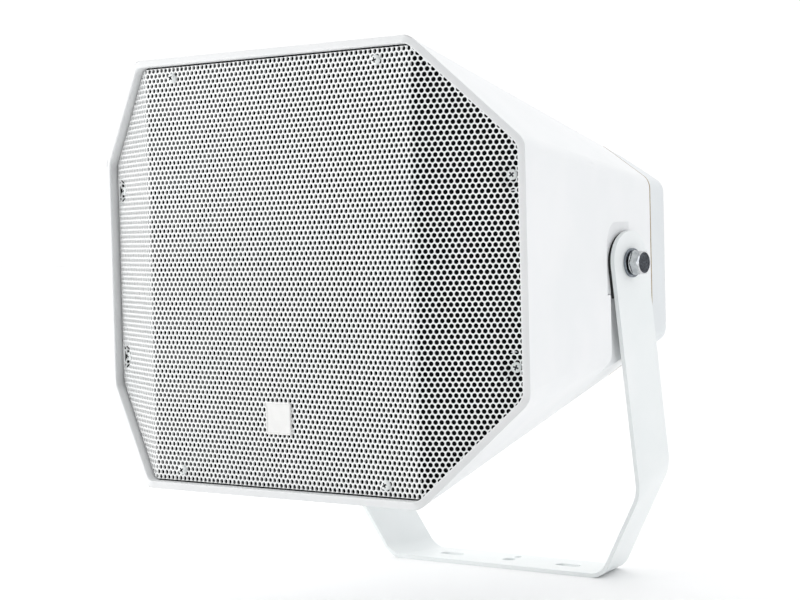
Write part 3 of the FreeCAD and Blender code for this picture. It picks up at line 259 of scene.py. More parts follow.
def zinc_plated_steel(name, dark, light):
    """Turned and zinc-plated steel: grey metal, with fine tool marks that streak its highlights."""
    material, tree, place, shader = new_material(name, Metallic=1.0, Anisotropic=0.3)
    toned(tree, place, shader, dark, light, size=3)
    marks = grained(tree, place, shader, size=0.8, detail=4.0, strength=0.12, depth=0.03)
    rough = add(tree, "ShaderNodeMapRange", {"To Min": 0.16, "To Max": 0.3}, Value=marks)
    tree.links.new(rough.outputs["Result"], shader.inputs["Roughness"])
    return material


def painted_shade_steel():
    """Forged steel, pitted and half dull, painted a dark blue grey: painted shade in the screws' recesses
    and a painted dark reflection on the bolts' ends.
    """
    material, tree, place, shader = new_material("painted_shade_steel", Metallic=1.0)
    toned(tree, place, shader, "#33363B", "#5A5E64", size=1.2)
    pits = grained(tree, place, shader, size=0.7, detail=4.0, strength=0.4, depth=0.08)
    rough = add(tree, "ShaderNodeMapRange", {"To Min": 0.35, "To Max": 0.6}, Value=pits)
    tree.links.new(rough.outputs["Result"], shader.inputs["Roughness"])
    return material


def moulded_rubber():
    """Black nitrile rubber from a mould: matte, with a dusty bloom."""
    material, tree, place, shader = new_material("moulded_rubber", Roughness=0.75, IOR=1.52)
    toned(tree, place, shader, "#131415", "#222324", size=4)
    grained(tree, place, shader, size=0.5, detail=2.0, strength=0.3, depth=0.05)
    return material


def tan_cork_rubber():
    """Cork-filled sealing strip: tan, crumbly and matte, so the seam reads as a warm hairline."""
    material, tree, place, shader = new_material("tan_cork_rubber", Roughness=0.85, IOR=1.5)
    toned(tree, place, shader, "#8F7A5C", "#B09A78", size=1.5)
    grained(tree, place, shader, size=0.6, detail=3.0, strength=0.4, depth=0.08)
    return material


def woven_polyester_mesh():
    """Black polyester gauze: dull threads that swallow the light behind the perforations."""
    material, tree, place, shader = new_material("woven_polyester_mesh", Roughness=0.95, IOR=1.4,
                                                 Specular_IOR_Level=0.1)
    # Threads about 0.4 mm apart are too fine to show, so they are drawn about 1.6 mm apart
    thread = WAVE_PERIOD * per_mm(1.5791)
    across = add(tree, "ShaderNodeTexWave", {"Scale": thread, "bands_direction": "X"}, Vector=place)
    along = add(tree, "ShaderNodeTexWave", {"Scale": thread, "bands_direction": "Z"}, Vector=place)
    weave = add(tree, "ShaderNodeMath", {"operation": "MAXIMUM"})
    tree.links.new(across.outputs["Fac"], weave.inputs[0])
    tree.links.new(along.outputs["Fac"], weave.inputs[1])
    ramp = add(tree, "ShaderNodeValToRGB", Fac=weave.outputs["Value"])
    ramp.color_ramp.elements[0].color = linear("#050506")
    ramp.color_ramp.elements[1].color = linear("#101113")
    tree.links.new(ramp.outputs["Color"], shader.inputs["Base Color"])
    bump = add(tree, "ShaderNodeBump", {"Strength": 0.4, "Distance": 0.1 * MM},
               Height=weave.outputs["Value"])
    tree.links.new(bump.outputs["Normal"], shader.inputs["Normal"])
    return material


def enamelled_plate():
    """Stamped plate under white enamel: smoother and glossier than the grille round it."""
    material, tree, place, shader = new_material("enamelled_plate", Roughness=0.22, IOR=1.52)
    toned(tree, place, shader, "#ECECEB", "#F0F0EF", size=8)
    grained(tree, place, shader, size=2.5, detail=1.0, strength=0.1, depth=0.04)
    return material


def moulded_grey_polyamide():
    """Glass-filled polyamide: mid grey, slightly cloudy and dull."""
    material, tree, place, shader = new_material("moulded_grey_polyamide", Roughness=0.5, IOR=1.53)
    toned(tree, place, shader, "#8F9192", "#A0A2A2", size=6)
    grained(tree, place, shader, size=0.6, detail=2.0, strength=0.2, depth=0.05)
    return material


def sintered_ferrite():
    """Pressed and fired ferrite: charcoal, gritty and dull."""
    material, tree, place, shader = new_material("sintered_ferrite", Roughness=0.7, IOR=1.6)
    toned(tree, place, shader, "#2A2B2D", "#3A3B3D", size=2)
    grained(tree, place, shader, size=0.8, detail=4.0, strength=0.4, depth=0.08)
    return material


def enamelled_copper_wire():
    """Close-wound copper wire under clear enamel: warm ridges with a shine along each turn."""
    material, tree, place, shader = new_material("enamelled_copper_wire", Metallic=0.8, Roughness=0.35)
    turns = add(tree, "ShaderNodeTexWave",
                {"Scale": WAVE_PERIOD * per_mm(1.7765), "bands_direction": "Y", "Distortion": 0.4},
                Vector=place)
    ramp = add(tree, "ShaderNodeValToRGB", Fac=turns.outputs["Fac"])
    ramp.color_ramp.elements[0].color = linear("#6E3516")
    ramp.color_ramp.elements[1].color = linear("#C0733C")
    tree.links.new(ramp.outputs["Color"], shader.inputs["Base Color"])
    bump = add(tree, "ShaderNodeBump", {"Strength": 0.5, "Distance": 0.2 * MM},
               Height=turns.outputs["Fac"])
    tree.links.new(bump.outputs["Normal"], shader.inputs["Normal"])
    return material


def pressed_paper():
    """Black-dyed pulp pressed to a cone: felted, with a dry dull surface."""
    material, tree, place, shader = new_material("pressed_paper", Roughness=0.9, IOR=1.45)
    toned(tree, place, shader, "#1B1B1B", "#2B2A29", size=2)
    grained(tree, place, shader, size=0.9, detail=6.0, strength=0.5, depth=0.1)
    return material


def impregnated_cloth():
    """Cotton damper stiffened with resin: amber weave with a slight sheen."""
    material, tree, place, shader = new_material("impregnated_cloth", Roughness=0.65, IOR=1.5,
                                                 Sheen_Weight=0.2)
    toned(tree, place, shader, "#8C6A32", "#B08C4C", size=3)
    weave = add(tree, "ShaderNodeTexWave", {"Scale": WAVE_PERIOD * per_mm(1.9739)}, Vector=place)
    bump = add(tree, "ShaderNodeBump", {"Strength": 0.4, "Distance": 0.1 * MM},
               Height=weave.outputs["Fac"])
    tree.links.new(bump.outputs["Normal"], shader.inputs["Normal"])
    return material


def turned_brass():
    """Brass bar turned on a lathe: yellow metal with rings from the tool."""
    material, tree, place, shader = new_material("turned_brass", Metallic=1.0, Roughness=0.28)
    toned(tree, place, shader, "#B08A3E", "#CDA858", size=3)
    rings = add(tree, "ShaderNodeTexWave", {"Scale": WAVE_PERIOD * per_mm(1.5791)}, Vector=place)
    bump = add(tree, "ShaderNodeBump", {"Strength": 0.15, "Distance": 0.05 * MM},
               Height=rings.outputs["Fac"])
    tree.links.new(bump.outputs["Normal"], shader.inputs["Normal"])
    return material


def studio_paper():
    """Matte white backdrop paper, with a faint tooth."""
    material, tree, place, shader = new_material("studio_paper", Roughness=0.9, IOR=1.4)
    toned(tree, place, shader, "#FDFDFD", "#FFFFFF", size=400)
    grained(tree, place, shader, size=3, detail=2.0, strength=0.1, depth=0.1)
    return material


# The whites and greys below are matched tones. The rim's nose and the lid are the horn's white ABS drawn
# greyer as painted shade, and the grille's sheet is the bracket's white coat drawn whiter as painted light.
# The flat washers look darker than the bolts.
ABS = moulded_abs("moulded_white_abs", "#EBEDEE", "#EFF0F1")
SHADED_RIM_ABS = moulded_abs("moulded_abs_painted_rim_shade", "#E5E7E8", "#E9EAEB")
SHADED_LID_ABS = moulded_abs("moulded_abs_painted_lid_shade", "#DDE1E3", "#E0E4E6")
COAT = powder_coated_steel("powder_coated_strip", "#EEF2F2", "#F2F5F5")
LIT_SHEET_COAT = powder_coated_steel("powder_coat_painted_sheet_light", "#FAFCFC", "#FDFEFE")
ZINC = zinc_plated_steel("bright_zinc_plated_steel", "#B9BCBF", "#D3D5D6")
DULL_ZINC = zinc_plated_steel("dull_zinc_plated_steel", "#757B82", "#8F959C")
# Dark steel that carries painted shade in recesses and a painted dark reflection on the bolts' ends
SHADE_STEEL = painted_shade_steel()
RUBBER = moulded_rubber()
CORK = tan_cork_rubber()
MESH = woven_polyester_mesh()
ENAMEL = enamelled_plate()
POLYAMIDE = moulded_grey_polyamide()
FERRITE = sintered_ferrite()
COPPER = enamelled_copper_wire()
PAPER = pressed_paper()
CLOTH = impregnated_cloth()
BRASS = turned_brass()

FINISHES = {
    ABS: ("horn_cabinet",),
    # The lid's node takes the greyer copy of the white ABS as painted shade, the grille's the whiter copy
    # of the coat as painted light
    SHADED_LID_ABS: ("rear_cover",),
    COAT: ("u_bracket",),
    LIT_SHEET_COAT: ("grille",),
    ZINC: ("grille_screws", "cover_screws", "driver_screws", "driver_frame", "top_plate", "pole_plate",
           "transformer_core", "transformer_straps", "transformer_screws", "terminal_screws",
           "flat_washers", "spring_washers", "pivot_bolts"),
    CORK: ("cover_gasket",),
    RUBBER: ("driver_gasket", "surround", "gland_seal", "friction_pads"),
    MESH: ("dust_screen",),
    ENAMEL: ("badge_plate",),
    POLYAMIDE: ("terminal_block", "gland_body", "gland_nut", "gland_locknut"),
    FERRITE: ("magnet",),
    COPPER: ("voice_coil", "transformer_coil"),
    PAPER: ("cone", "dust_cap"),
    CLOTH: ("spider",),
    BRASS: ("pivot_inserts",),
}


def dress_nodes():
    """Gives every CAD node its finish."""
    for material, names in FINISHES.items():
        for name in names:
            mesh = NODES[name].data
            mesh.materials.clear()
            mesh.materials.append(material)


# Pieces

def new_piece(name, points, faces, material, body, node, slot, smooth=None):
    """Mesh piece from points in metres that stands for a CAD node and rides on its body."""
    mesh = bpy.data.meshes.new(name)
    mesh.from_pydata(points, [], faces)
    mesh.validate()
    mesh.update()
    return add_piece(name, mesh, material, body, node, smooth)


def add_piece(name, mesh, material, body, node, smooth=None):
    """Puts a mesh in the scene for a CAD node, shaded smooth where its faces meet below an angle."""
    mesh.materials.clear()
    mesh.materials.append(material)
    if smooth:
        mesh.shade_smooth()
        mesh.set_sharp_from_angle(angle=math.radians(smooth))
    piece = bpy.data.objects.new(name, mesh)
    bpy.context.scene.collection.objects.link(piece)
    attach(piece, body)
    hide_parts(node)
    return piece


def node_copy(name):
    """Copy of a CAD node's mesh, and its faces in the row's frame."""
    node = NODES[name]
    mesh = node.data.copy()
    shell = bmesh.new()
    shell.from_mesh(mesh)
    shell.transform(node.matrix_world)
    return mesh, shell


def in_row(x, depth, z):
    """Point in metres, from millimetres across, behind the front and above the horn's axis."""
    return Vector((x * MM, FRONT_Y + depth * MM, AXIS_Z + z * MM))


def from_row(point):
    """Millimetres across, behind the front and above the horn's axis, from a point in metres."""
    return (point - Vector((0, FRONT_Y, AXIS_Z))) / MM


def corner_arcs(corners, radius, steps):
    """Stations round a polygon's rounded corners, anticlockwise: each arc's centre and a way out of it."""
    corners = [Vector(corner) for corner in corners]
    stations = []
    for number, corner in enumerate(corners):
        back = (corners[number - 1] - corner).normalized()
        ahead = (corners[(number + 1) % len(corners)] - corner).normalized()
        half = back.angle(ahead) / 2
        centre = corner + (back + ahead).normalized() * radius / math.sin(half)
        start = (corner + back * radius / math.tan(half) - centre).normalized()
        for step in range(steps + 1):
            turn = Matrix.Rotation((math.pi - 2 * half) * step / steps, 2)
            stations.append((centre, turn @ start))
    return stations


def octagon(shape, inset):
    """Corners of an eight-sided outline moved inward, anticlockwise from the lower right."""
    wide, high, flat, side = shape
    run, rise = wide - flat, high - side
    slant = math.hypot(run, rise)
    flat -= inset * rise / (slant + run)
    side -= inset * run / (slant + rise)
    wide, high = wide - inset, high - inset
    right = [(flat, -high), (wide, -side), (wide, side), (flat, high)]
    return right + [(-x, z) for x, z in reversed(right)]


def ring_faces(around, rings):
    """Quads between closed rings of points that follow one another."""
    return [(ring * around + step, ring * around + (step + 1) % around,
             (ring + 1) * around + (step + 1) % around, (ring + 1) * around + step)
            for ring in range(rings - 1) for step in range(around)]


def dent_at(u, v):
    """Depth of the dent round a wing's screw, at a place on the sheet."""
    away = math.hypot(abs(u) - WING_SCREW_U, abs(v) - WING_SCREW[1])
    share = min(max((DENT_RADIUS - away) / (DENT_RADIUS - DENT_FLOOR), 0), 1)
    return DENT_DEPTH * share * share * (3 - 2 * share)


def sheet_back(u, v):
    """Depth of the sheet's back behind its front, drawn thinner in the dents."""
    thinned = min(dent_at(u, v) / (THIN_FROM * DENT_DEPTH), 1)
    return GRILLE_THICK - (GRILLE_THICK - DENT_THICK) * thinned


def on_sheet(u, v, depth=0.0):
    """Point of the folded sheet, from distances along it and up it, and a depth behind its front."""
    along = abs(u)
    depth += dent_at(u, v)
    turn = min(max((along - FOLD_X + HALF_BEND) / (2 * HALF_BEND), 0), 1) * FOLD_ANGLE
    beyond = max(along - FOLD_X - HALF_BEND, 0)
    if turn == 0:
        x = along
    else:
        x = FOLD_X - HALF_BEND + FOLD_RADIUS * math.sin(turn) + beyond * math.cos(turn)
    y = FOLD_RADIUS * (1 - math.cos(turn)) + beyond * math.sin(turn)
    x -= depth * math.sin(turn)
    y += depth * math.cos(turn)
    return in_row(math.copysign(x, u), GRILLE_DEPTH + y, v)


def sheet_outline(inset):
    """Rounded outline of a flat sheet that lies inside the mouth's outline, anticlockwise."""
    radius = MOUTH_CORNER - inset
    stations = corner_arcs(octagon(MOUTH, inset), radius, CURVE_STEPS)
    outline = [centre + way * radius for centre, way in stations]
    for point in outline:
        beyond = max(abs(point.x) - FOLD_X, 0)
        point.x += math.copysign(beyond / math.cos(FOLD_ANGLE) - beyond, point.x)
    return outline


def clipped(polygon, outline):
    """Part of a flat polygon that lies inside the convex outline."""
    for number, start in enumerate(outline):
        along = outline[(number + 1) % len(outline)] - start
        side = [along.cross(point - start) for point in polygon]
        kept = []
        for index, point in enumerate(polygon):
            before = polygon[index - 1]
            if (side[index] >= 0) != (side[index - 1] >= 0):
                share = side[index - 1] / (side[index - 1] - side[index])
                kept.append(before.lerp(point, share))
            if side[index] >= 0:
                kept.append(point)
        polygon = kept
        if len(polygon) < 3:
            return []
    return polygon


def inside(point, outline):
    """Whether a point lies inside the convex outline."""
    return all((outline[(n + 1) % len(outline)] - start).cross(point - start) >= 0
               for n, start in enumerate(outline))


CELL = [Vector((across * HOLE_PITCH / 2, up * ROW_PITCH / 2))
        for across, up in ((1, 1), (0, 1), (-1, 1), (-1, -1), (0, -1), (1, -1))]


def cell_middles(outline):
    """Middles of the staggered cells that reach over a sheet, with their rows."""
    rows = int(MOUTH_HIGH / ROW_PITCH) + 1
    columns = int(max(point.x for point in outline) / HOLE_PITCH) + 2
    for row in range(-rows, rows + 1):
        for column in range(-columns, columns + 1):
            yield row, Vector(((column + (row % 2) / 2) * HOLE_PITCH, row * ROW_PITCH))


def dust_screen():
    """Gauze that lies on the back of the grille, into its dents and out to the rim's wall."""
    outline = sheet_outline(RIM_WIDTH + GAUZE_GAP)
    points, faces = [], []
    for _, middle in cell_middles(outline):
        polygon = clipped([middle + corner for corner in CELL], outline)
        if polygon:
            faces.append(range(len(points), len(points) + len(polygon)))
            points += [on_sheet(point.x, point.y, sheet_back(point.x, point.y) + GAUZE_GAP)
                       for point in polygon]
    new_piece("screen_gauze", points, faces, MESH, "speaker", "dust_screen", "black_mesh")


def perforated_grille():
    """Sheet with staggered round holes that run out to its edge."""
    outline = sheet_outline(RIM_WIDTH + GRILLE_MARGIN)
    hole = [Vector((math.cos(angle), math.sin(angle))) * HOLE_RADIUS
            for angle in (2 * math.pi * step / HOLE_SIDES for step in range(HOLE_SIDES))]
    panels = {name: ([], []) for name in ("left_wing", "right_wing", "centre_upper", "centre_lower")}

    def place(panel, front, back=()):
        points, faces = panels[panel]
        first = len(points)
        points += [on_sheet(point.x, point.y) for point in front]
        points += [on_sheet(point.x, point.y, sheet_back(point.x, point.y)) for point in back]
        faces.append(range(first, len(points)))

    for row, middle in cell_middles(outline):
        if abs(middle.x) > FOLD_X:
            panel = "right_wing" if middle.x > 0 else "left_wing"
        else:
            panel = "centre_upper" if row >= 0 else "centre_lower"
        whole = all(inside(middle + corner, outline) for corner in CELL)
        for sector, corner in enumerate(CELL):
            arc = [hole[(2 * sector + step) % HOLE_SIDES] for step in (3, 2, 1)]
            polygon = [middle + point for point in [corner, CELL[(sector + 1) % len(CELL)]] + arc]
            if not whole:
                polygon = clipped(polygon, outline)
            if polygon:
                place(panel, polygon)
        for step in range(HOLE_SIDES):
            one = middle + hole[step]
            two = middle + hole[(step + 1) % HOLE_SIDES]
            if whole or (inside(one, outline) and inside(two, outline)):
                place(panel, [one, two], [two, one])
    for number, one in enumerate(outline):
        two = outline[(number + 1) % len(outline)]
        place("right_wing" if one.x > 0 else "left_wing", [one, two], [two, one])
    for name, (points, faces) in panels.items():
        # The sheet takes the whiter copy of the white coat, as painted light
        new_piece("grille_" + name, points, faces, LIT_SHEET_COAT, "speaker", "grille", "white_steel")


def front_depth(x, z):
    """Depth of the rim's front behind the middle panel's, at a place on the mouth."""
    share = (abs(x) - MOUTH_FLAT) * MOUTH_RUN + (MOUTH_HIGH - abs(z)) * MOUTH_RISE
    return WING_SWEEP * min(max(share / (MOUTH_RUN ** 2 + MOUTH_RISE ** 2), 0), 1)


def inset_at(x, z):
    """Distance inside the mouth's eight sides."""
    slanted = (MOUTH_WIDE - abs(x)) * MOUTH_RISE + (MOUTH_SIDE - abs(z)) * MOUTH_RUN
    return min(MOUTH_HIGH - abs(z), slanted / math.hypot(MOUTH_RUN, MOUTH_RISE), MOUTH_WIDE - abs(x))


def on_rim(face):
    """Whether a face of the cabinet lies on the front or the inner wall of its rim."""
    spot = from_row(face.calc_center_median())
    inset = inset_at(spot.x, spot.z)
    deep = spot.y - front_depth(spot.x, spot.z)
    slack, inner_edge, upright = 0.2, RIM_WIDTH + 1, 0.05
    front = -slack < deep < RIM_BEVEL and slack < inset < inner_edge
    wall = deep < RIM_WALL and RIM_WIDTH - slack / 2 < inset < inner_edge
    return front or (wall and abs(face.normal.y) < upright)


def cabinet_shell():
    """Cabinet as far as the edge of its rim."""
    mesh, shell = node_copy("horn_cabinet")
    rim = [face for face in shell.faces if on_rim(face)]
    bmesh.ops.delete(shell, geom=rim, context="FACES")
    shell.to_mesh(mesh)
    shell.free()
    add_piece("cabinet_shell", mesh, ABS, "speaker", "horn_cabinet")


def bow(start, corner, end):
    """Curve that leaves one point toward a corner and comes to another from it."""
    start, corner, end = Vector(start), Vector(corner), Vector(end)
    shares = [step / CURVE_STEPS for step in range(CURVE_STEPS + 1)]
    return [start.lerp(corner, share).lerp(corner.lerp(end, share), share) for share in shares]


def cabinet_rim():
    """Rounded nose that runs round the mouth, with the wall inside it."""
    stations = corner_arcs(octagon(MOUTH, 0), MOUTH_CORNER, RIM_STEPS)
    after = RIM_CREST + CREST_AFTER
    profiles = []
    for centre, way in stations:
        taper = TOP_TAPER + (SLANT_TAPER - TOP_TAPER) * min(abs(way.x) / SLANT_WAY, 1)
        lip = RIM_SLOPE * RIM_CREST / (1 + RIM_SLOPE * taper)
        nose = bow((taper * RIM_BEVEL, RIM_BEVEL), (taper * lip, lip),
                   (OUTER_REACH, RIM_SLOPE * (RIM_CREST - OUTER_REACH)))
        nose += bow((RIM_CREST - CREST_BEFORE, RIM_SLOPE * CREST_BEFORE), (RIM_CREST, 0), (after, 0))
        nose += bow((after, 0), (RIM_WIDTH, 0), (RIM_WIDTH, INNER_DROP))[1:]
        profile = []
        for inset, deep in nose + [Vector((RIM_WIDTH, RIM_WALL))]:
            spot = centre + way * (MOUTH_CORNER - inset)
            profile.append(in_row(spot.x, front_depth(spot.x, spot.y) + deep, spot.y))
        profiles.append(profile)
    points = [point for ring in zip(*profiles) for point in ring]
    faces = ring_faces(len(stations), len(profiles[0]))
    # The rim's nose takes the greyer copy of the white ABS, as painted shade
    new_piece("cabinet_rim", points, faces, SHADED_RIM_ABS, "speaker", "horn_cabinet", "white_shell", smooth=40)


def horn_shape(depth):
    """Half sizes of the horn's eight-sided taper at a depth behind the mouth."""
    return [front + (rear - front) * depth / SEAM_DEPTH for front, rear in zip(MOUTH, SEAM)]


def horn_ring(depth, inset, taper_depth=None):
    """Ring of points at a depth, inside the horn's taper there or as it is at another depth."""
    shape = horn_shape(depth if taper_depth is None else taper_depth)
    radius = SEAM_CORNER - inset
    stations = corner_arcs(octagon(shape, inset), radius, HORN_STEPS)
    spots = [centre + way * radius for centre, way in stations]
    return [in_row(spot.x, depth, spot.y) for spot in spots]


def on_cover_side(face):
    """Whether a face of the lid lies on the outside of its wall or its rounded edge."""
    spot = from_row(face.calc_center_median())
    wide, high, flat, side = horn_shape(spot.y)
    run, rise = wide - flat, high - side
    slanted = (abs(spot.x) * rise + abs(spot.z) * run) / (wide * rise + side * run)
    share = max(abs(spot.x) / wide, abs(spot.z) / high, slanted)
    facing = face.normal.x * spot.x + face.normal.z * spot.z
    near_side, flat_back = 0.95, 0.97
    return share > near_side and facing > 0 and abs(face.normal.y) < flat_back


def rear_cover():
    """Lid whose sides go on with the horn's taper to a tight rounded edge."""
    mesh, shell = node_copy("rear_cover")
    sides = [face for face in shell.faces if on_cover_side(face)]
    bmesh.ops.delete(shell, geom=sides, context="FACES")
    rear = SEAM_DEPTH + COVER_DEPTH
    for vertex in shell.verts:
        if from_row(vertex.co).y > rear - COVER_HAIR:
            vertex.co.y += COVER_LIFT * MM
    front, back = SEAM_DEPTH + COVER_GAP, rear + COVER_LIFT
    rings = [horn_ring(front, COVER_TURN_IN), horn_ring(front, COVER_BREAK),
             horn_ring(front + COVER_BREAK, 0)]
    for step in range(CURVE_STEPS + 1):
        turn = math.pi / 2 * step / CURVE_STEPS
        depth = back - COVER_NOSE * (1 - math.sin(turn))
        rings.append(horn_ring(depth, COVER_NOSE * (1 - math.cos(turn)), rear))
    rings.append(horn_ring(back, COVER_EDGE, rear))
    points = [shell.verts.new(point) for ring in rings for point in ring]
    for face in ring_faces(len(rings[0]), len(rings)):
        shell.faces.new([points[index] for index in face]).smooth = True
    shell.to_mesh(mesh)
    shell.free()
    # The lid takes the greyer copy of the white ABS, as painted shade
    add_piece("cover_shell", mesh, SHADED_LID_ABS, "speaker", "rear_cover", smooth=30)


def cover_gasket():
    """Sealing strip that swells a little out of the seam."""
    section = ((-STRIP_HALF, STRIP_ROOT), (-STRIP_HALF, -STRIP_EDGE), (0, -STRIP_CREST),
               (STRIP_HALF, -STRIP_EDGE), (STRIP_HALF, STRIP_ROOT))
    rings = [horn_ring(SEAM_DEPTH + STRIP_MIDDLE + across, inset) for across, inset in section]
    points = [point for ring in rings for point in ring]
    faces = ring_faces(len(rings[0]), len(rings))
    new_piece("seam_strip", points, faces, CORK, "speaker", "cover_gasket", "tan_rubber", smooth=40)


def friction_pads():
    """Arched rubber pads between the arms and the horn, to the arms' outline."""
    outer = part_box("friction_pads")[1][0] / MM
    lean = math.radians(ARM_LEAN)
    outline = [(PAD_RADIUS * math.cos(angle), PAD_RADIUS * math.sin(angle))
               for angle in (math.pi * step / PAD_STEPS for step in range(PAD_STEPS + 1))]
    outline += [(-PAD_RADIUS, -PAD_DROP), (PAD_RADIUS, -PAD_DROP)]
    points = []
    for x in (outer - PAD_THICK, outer):
        for across, up in outline:
            y = across * math.cos(lean) - up * math.sin(lean)
            z = across * math.sin(lean) + up * math.cos(lean)
            points.append(Vector((x, y + PIVOT.y / MM, z + PIVOT.z / MM)))
    around = len(outline)
    faces = ring_faces(around, 2) + [tuple(reversed(range(around))), tuple(range(around, 2 * around))]
    pair = copies((points, faces), (Matrix.Identity(4), Matrix.Scale(-1, 4, (1, 0, 0))))
    new_piece("arched_pads", *pair, RUBBER, "speaker", "friction_pads", "black_rubber")


def turned(profile, around):
    """Rings of points round the Z axis, from pairs of radius and height in millimetres."""
    return [on_circle(radius, 2 * math.pi * step / around, height)
            for radius, height in profile for step in range(around)]


def on_circle(radius, angle, height):
    """Point at an angle round the Z axis."""
    return Vector((radius * math.cos(angle), radius * math.sin(angle), height))


def cross_recess_screw():
    """Pan-head screw about the Z axis, seat at zero, with a cross recess sunk in its head."""
    profile = [(SCREW_RADIUS, -SCREW_LENGTH), (SCREW_RADIUS, 0), *HEAD_CURVE]
    points = turned(profile, SCREW_STEPS)
    faces = ring_faces(SCREW_STEPS, len(profile)) + [tuple(reversed(range(SCREW_STEPS)))]
    crown = len(points) - SCREW_STEPS
    brim = len(points)
    cross = cross_outline(1, HEAD_HEIGHT)
    points += cross
    for turn in range(4):
        tip, notch, side, next_tip = (brim + (turn * 3 + step) % len(cross) for step in range(4))
        edge = [crown + (turn * SCREW_STEPS // 4 + step) % SCREW_STEPS for step in range(8)]
        faces.append((tip, *edge[1:6], side, notch))
        faces.append((side, *edge[5:], next_tip))
    return points, faces


def cross_outline(scale, height):
    """Corners of a cross recess about the Z axis, anticlockwise."""
    half, reach = RECESS_HALF * scale, RECESS_REACH * scale
    quarter = [Vector((reach, half, height)), Vector((half, half, height)), Vector((half, reach, height))]
    return [Matrix.Rotation(turn * math.pi / 2, 3, "Z") @ corner for turn in range(4) for corner in quarter]


def cross_recess():
    """Walls and floor of the recess in a screw's head."""
    brim, floor = cross_outline(1, HEAD_HEIGHT), cross_outline(RECESS_SHRINK, RECESS_FLOOR)
    count = len(brim)
    faces = [(step, count + step, count + (step + 1) % count, (step + 1) % count) for step in range(count)]
    return brim + floor, faces + [tuple(range(count, 2 * count))]


def copies(shape, places):
    """One set of points and faces from copies of a shape at several places, given in millimetres."""
    points, faces = [], []
    for place in places:
        first = len(points)
        points += [(place @ point) * MM for point in shape[0]]
        faces += [tuple(first + index for index in face) for face in shape[1]]
    return points, faces


def standing(origin, way, spin=0.0):
    """Placement in millimetres that turns the Z axis to a way, after a spin about it in degrees."""
    turn = Vector(way).to_track_quat("Z", "Y").to_matrix().to_4x4()
    return Matrix.Translation(origin) @ turn @ Matrix.Rotation(math.radians(spin), 4, "Z")


def grille_screws():
    """White-coated cross-recess screws: four through the middle panel, four in the wings' dents."""
    places = []
    spins = iter(SCREW_SPINS)
    for right in (1, -1):
        for up in (1, -1):
            seat = on_sheet(right * PANEL_SCREW[0], up * PANEL_SCREW[1]) / MM
            places.append(standing(seat, (0, -1, 0), next(spins)))
            seat = on_sheet(right * WING_SCREW_U, up * WING_SCREW[1]) / MM
            way = (right * math.sin(FOLD_ANGLE), -math.cos(FOLD_ANGLE), 0)
            places.append(standing(seat, way, next(spins)))
    new_piece("grille_screw_heads", *copies(cross_recess_screw(), places), COAT, "speaker",
              "grille_screws", "screw_steel", smooth=35)
    # The cross recesses take the dark steel as painted shade
    new_piece("grille_screw_recesses", *copies(cross_recess(), places), SHADE_STEEL, "speaker",
              "grille_screws", "screw_steel")


def badge():
    """Bare square plate with a low raised border."""
    low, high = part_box("badge_plate")
    half = (high[0] - low[0]) / 2 / MM
    thick = (high[1] - low[1]) / MM
    middle = (low[2] + high[2]) / 2
    corners = [(half, -half), (half, half), (-half, half), (-half, -half)]
    stations = corner_arcs(corners, BADGE_CORNER, CURVE_STEPS)
    steps = ((0, 0), (0, thick - BADGE_EDGE), (BADGE_BREAK, thick - BADGE_BREAK), (BADGE_EDGE, thick),
             (BADGE_BORDER, thick), (BADGE_BORDER + BADGE_SINK, thick - BADGE_SINK))
    points = []
    for inset, height in steps:
        for centre, way in stations:
            spot = (centre + way * BADGE_CORNER) * (1 - inset / half)
            points.append(Vector((spot.x * MM, high[1] - height * MM, middle + spot.y * MM)))
    around = len(stations)
    faces = ring_faces(around, len(steps)) + [tuple(range(len(points) - around, len(points)))]
    new_piece("badge", points, faces, ENAMEL, "speaker", "badge_plate", "white_enamel", smooth=30)


ARM_PLACES = [standing((side * ARM_FACE, PIVOT.y / MM, PIVOT.z / MM), (side, 0, 0)) for side in (1, -1)]


def flat_washers():
    """Flat washer against each arm of the bracket."""
    brim, top = WASHER_RADIUS - WASHER_BREAK, WASHER_THICK
    profile = [(WASHER_BORE, 0), (brim, 0), (WASHER_RADIUS, WASHER_BREAK),
               (WASHER_RADIUS, top - WASHER_BREAK), (brim, top), (WASHER_BORE, top)]
    shape = turned(profile, PIVOT_STEPS), ring_faces(PIVOT_STEPS, len(profile))
    new_piece("flat_washer_rings", *copies(shape, ARM_PLACES), DULL_ZINC, "speaker", "flat_washers",
              "screw_steel", smooth=40)


def spring_washers():
    """Split washer on each flat washer, with its ends sprung apart."""
    low, high = WASHER_THICK + SPRING_CLEAR, WASHER_THICK + SPRING_THICK - SPRING_CLEAR
    brim, along = SPRING_RADIUS - SPRING_BREAK_ACROSS, SPRING_BREAK_ALONG
    profile = [(SPRING_BORE, low), (brim, low), (SPRING_RADIUS, low + along),
               (SPRING_RADIUS, high - along), (brim, high), (SPRING_BORE, high)]
    gap = math.radians(SPRING_GAP)
    last = PIVOT_STEPS - 1
    points = []
    for radius, height in profile + profile[:1]:
        for step in range(PIVOT_STEPS):
            angle = gap / 2 + (2 * math.pi - gap) * step / last
            points.append(on_circle(radius, angle, height + SPRING_RISE * (step / last - 0.5)))
    faces = [face for face in ring_faces(PIVOT_STEPS, len(profile) + 1) if face[1] == face[0] + 1]
    start = tuple(PIVOT_STEPS * corner for corner in range(len(profile)))
    faces += [start, tuple(corner + last for corner in reversed(start))]
    new_piece("spring_washer_rings", *copies((points, faces), ARM_PLACES), ZINC, "speaker",
              "spring_washers", "screw_steel", smooth=40)


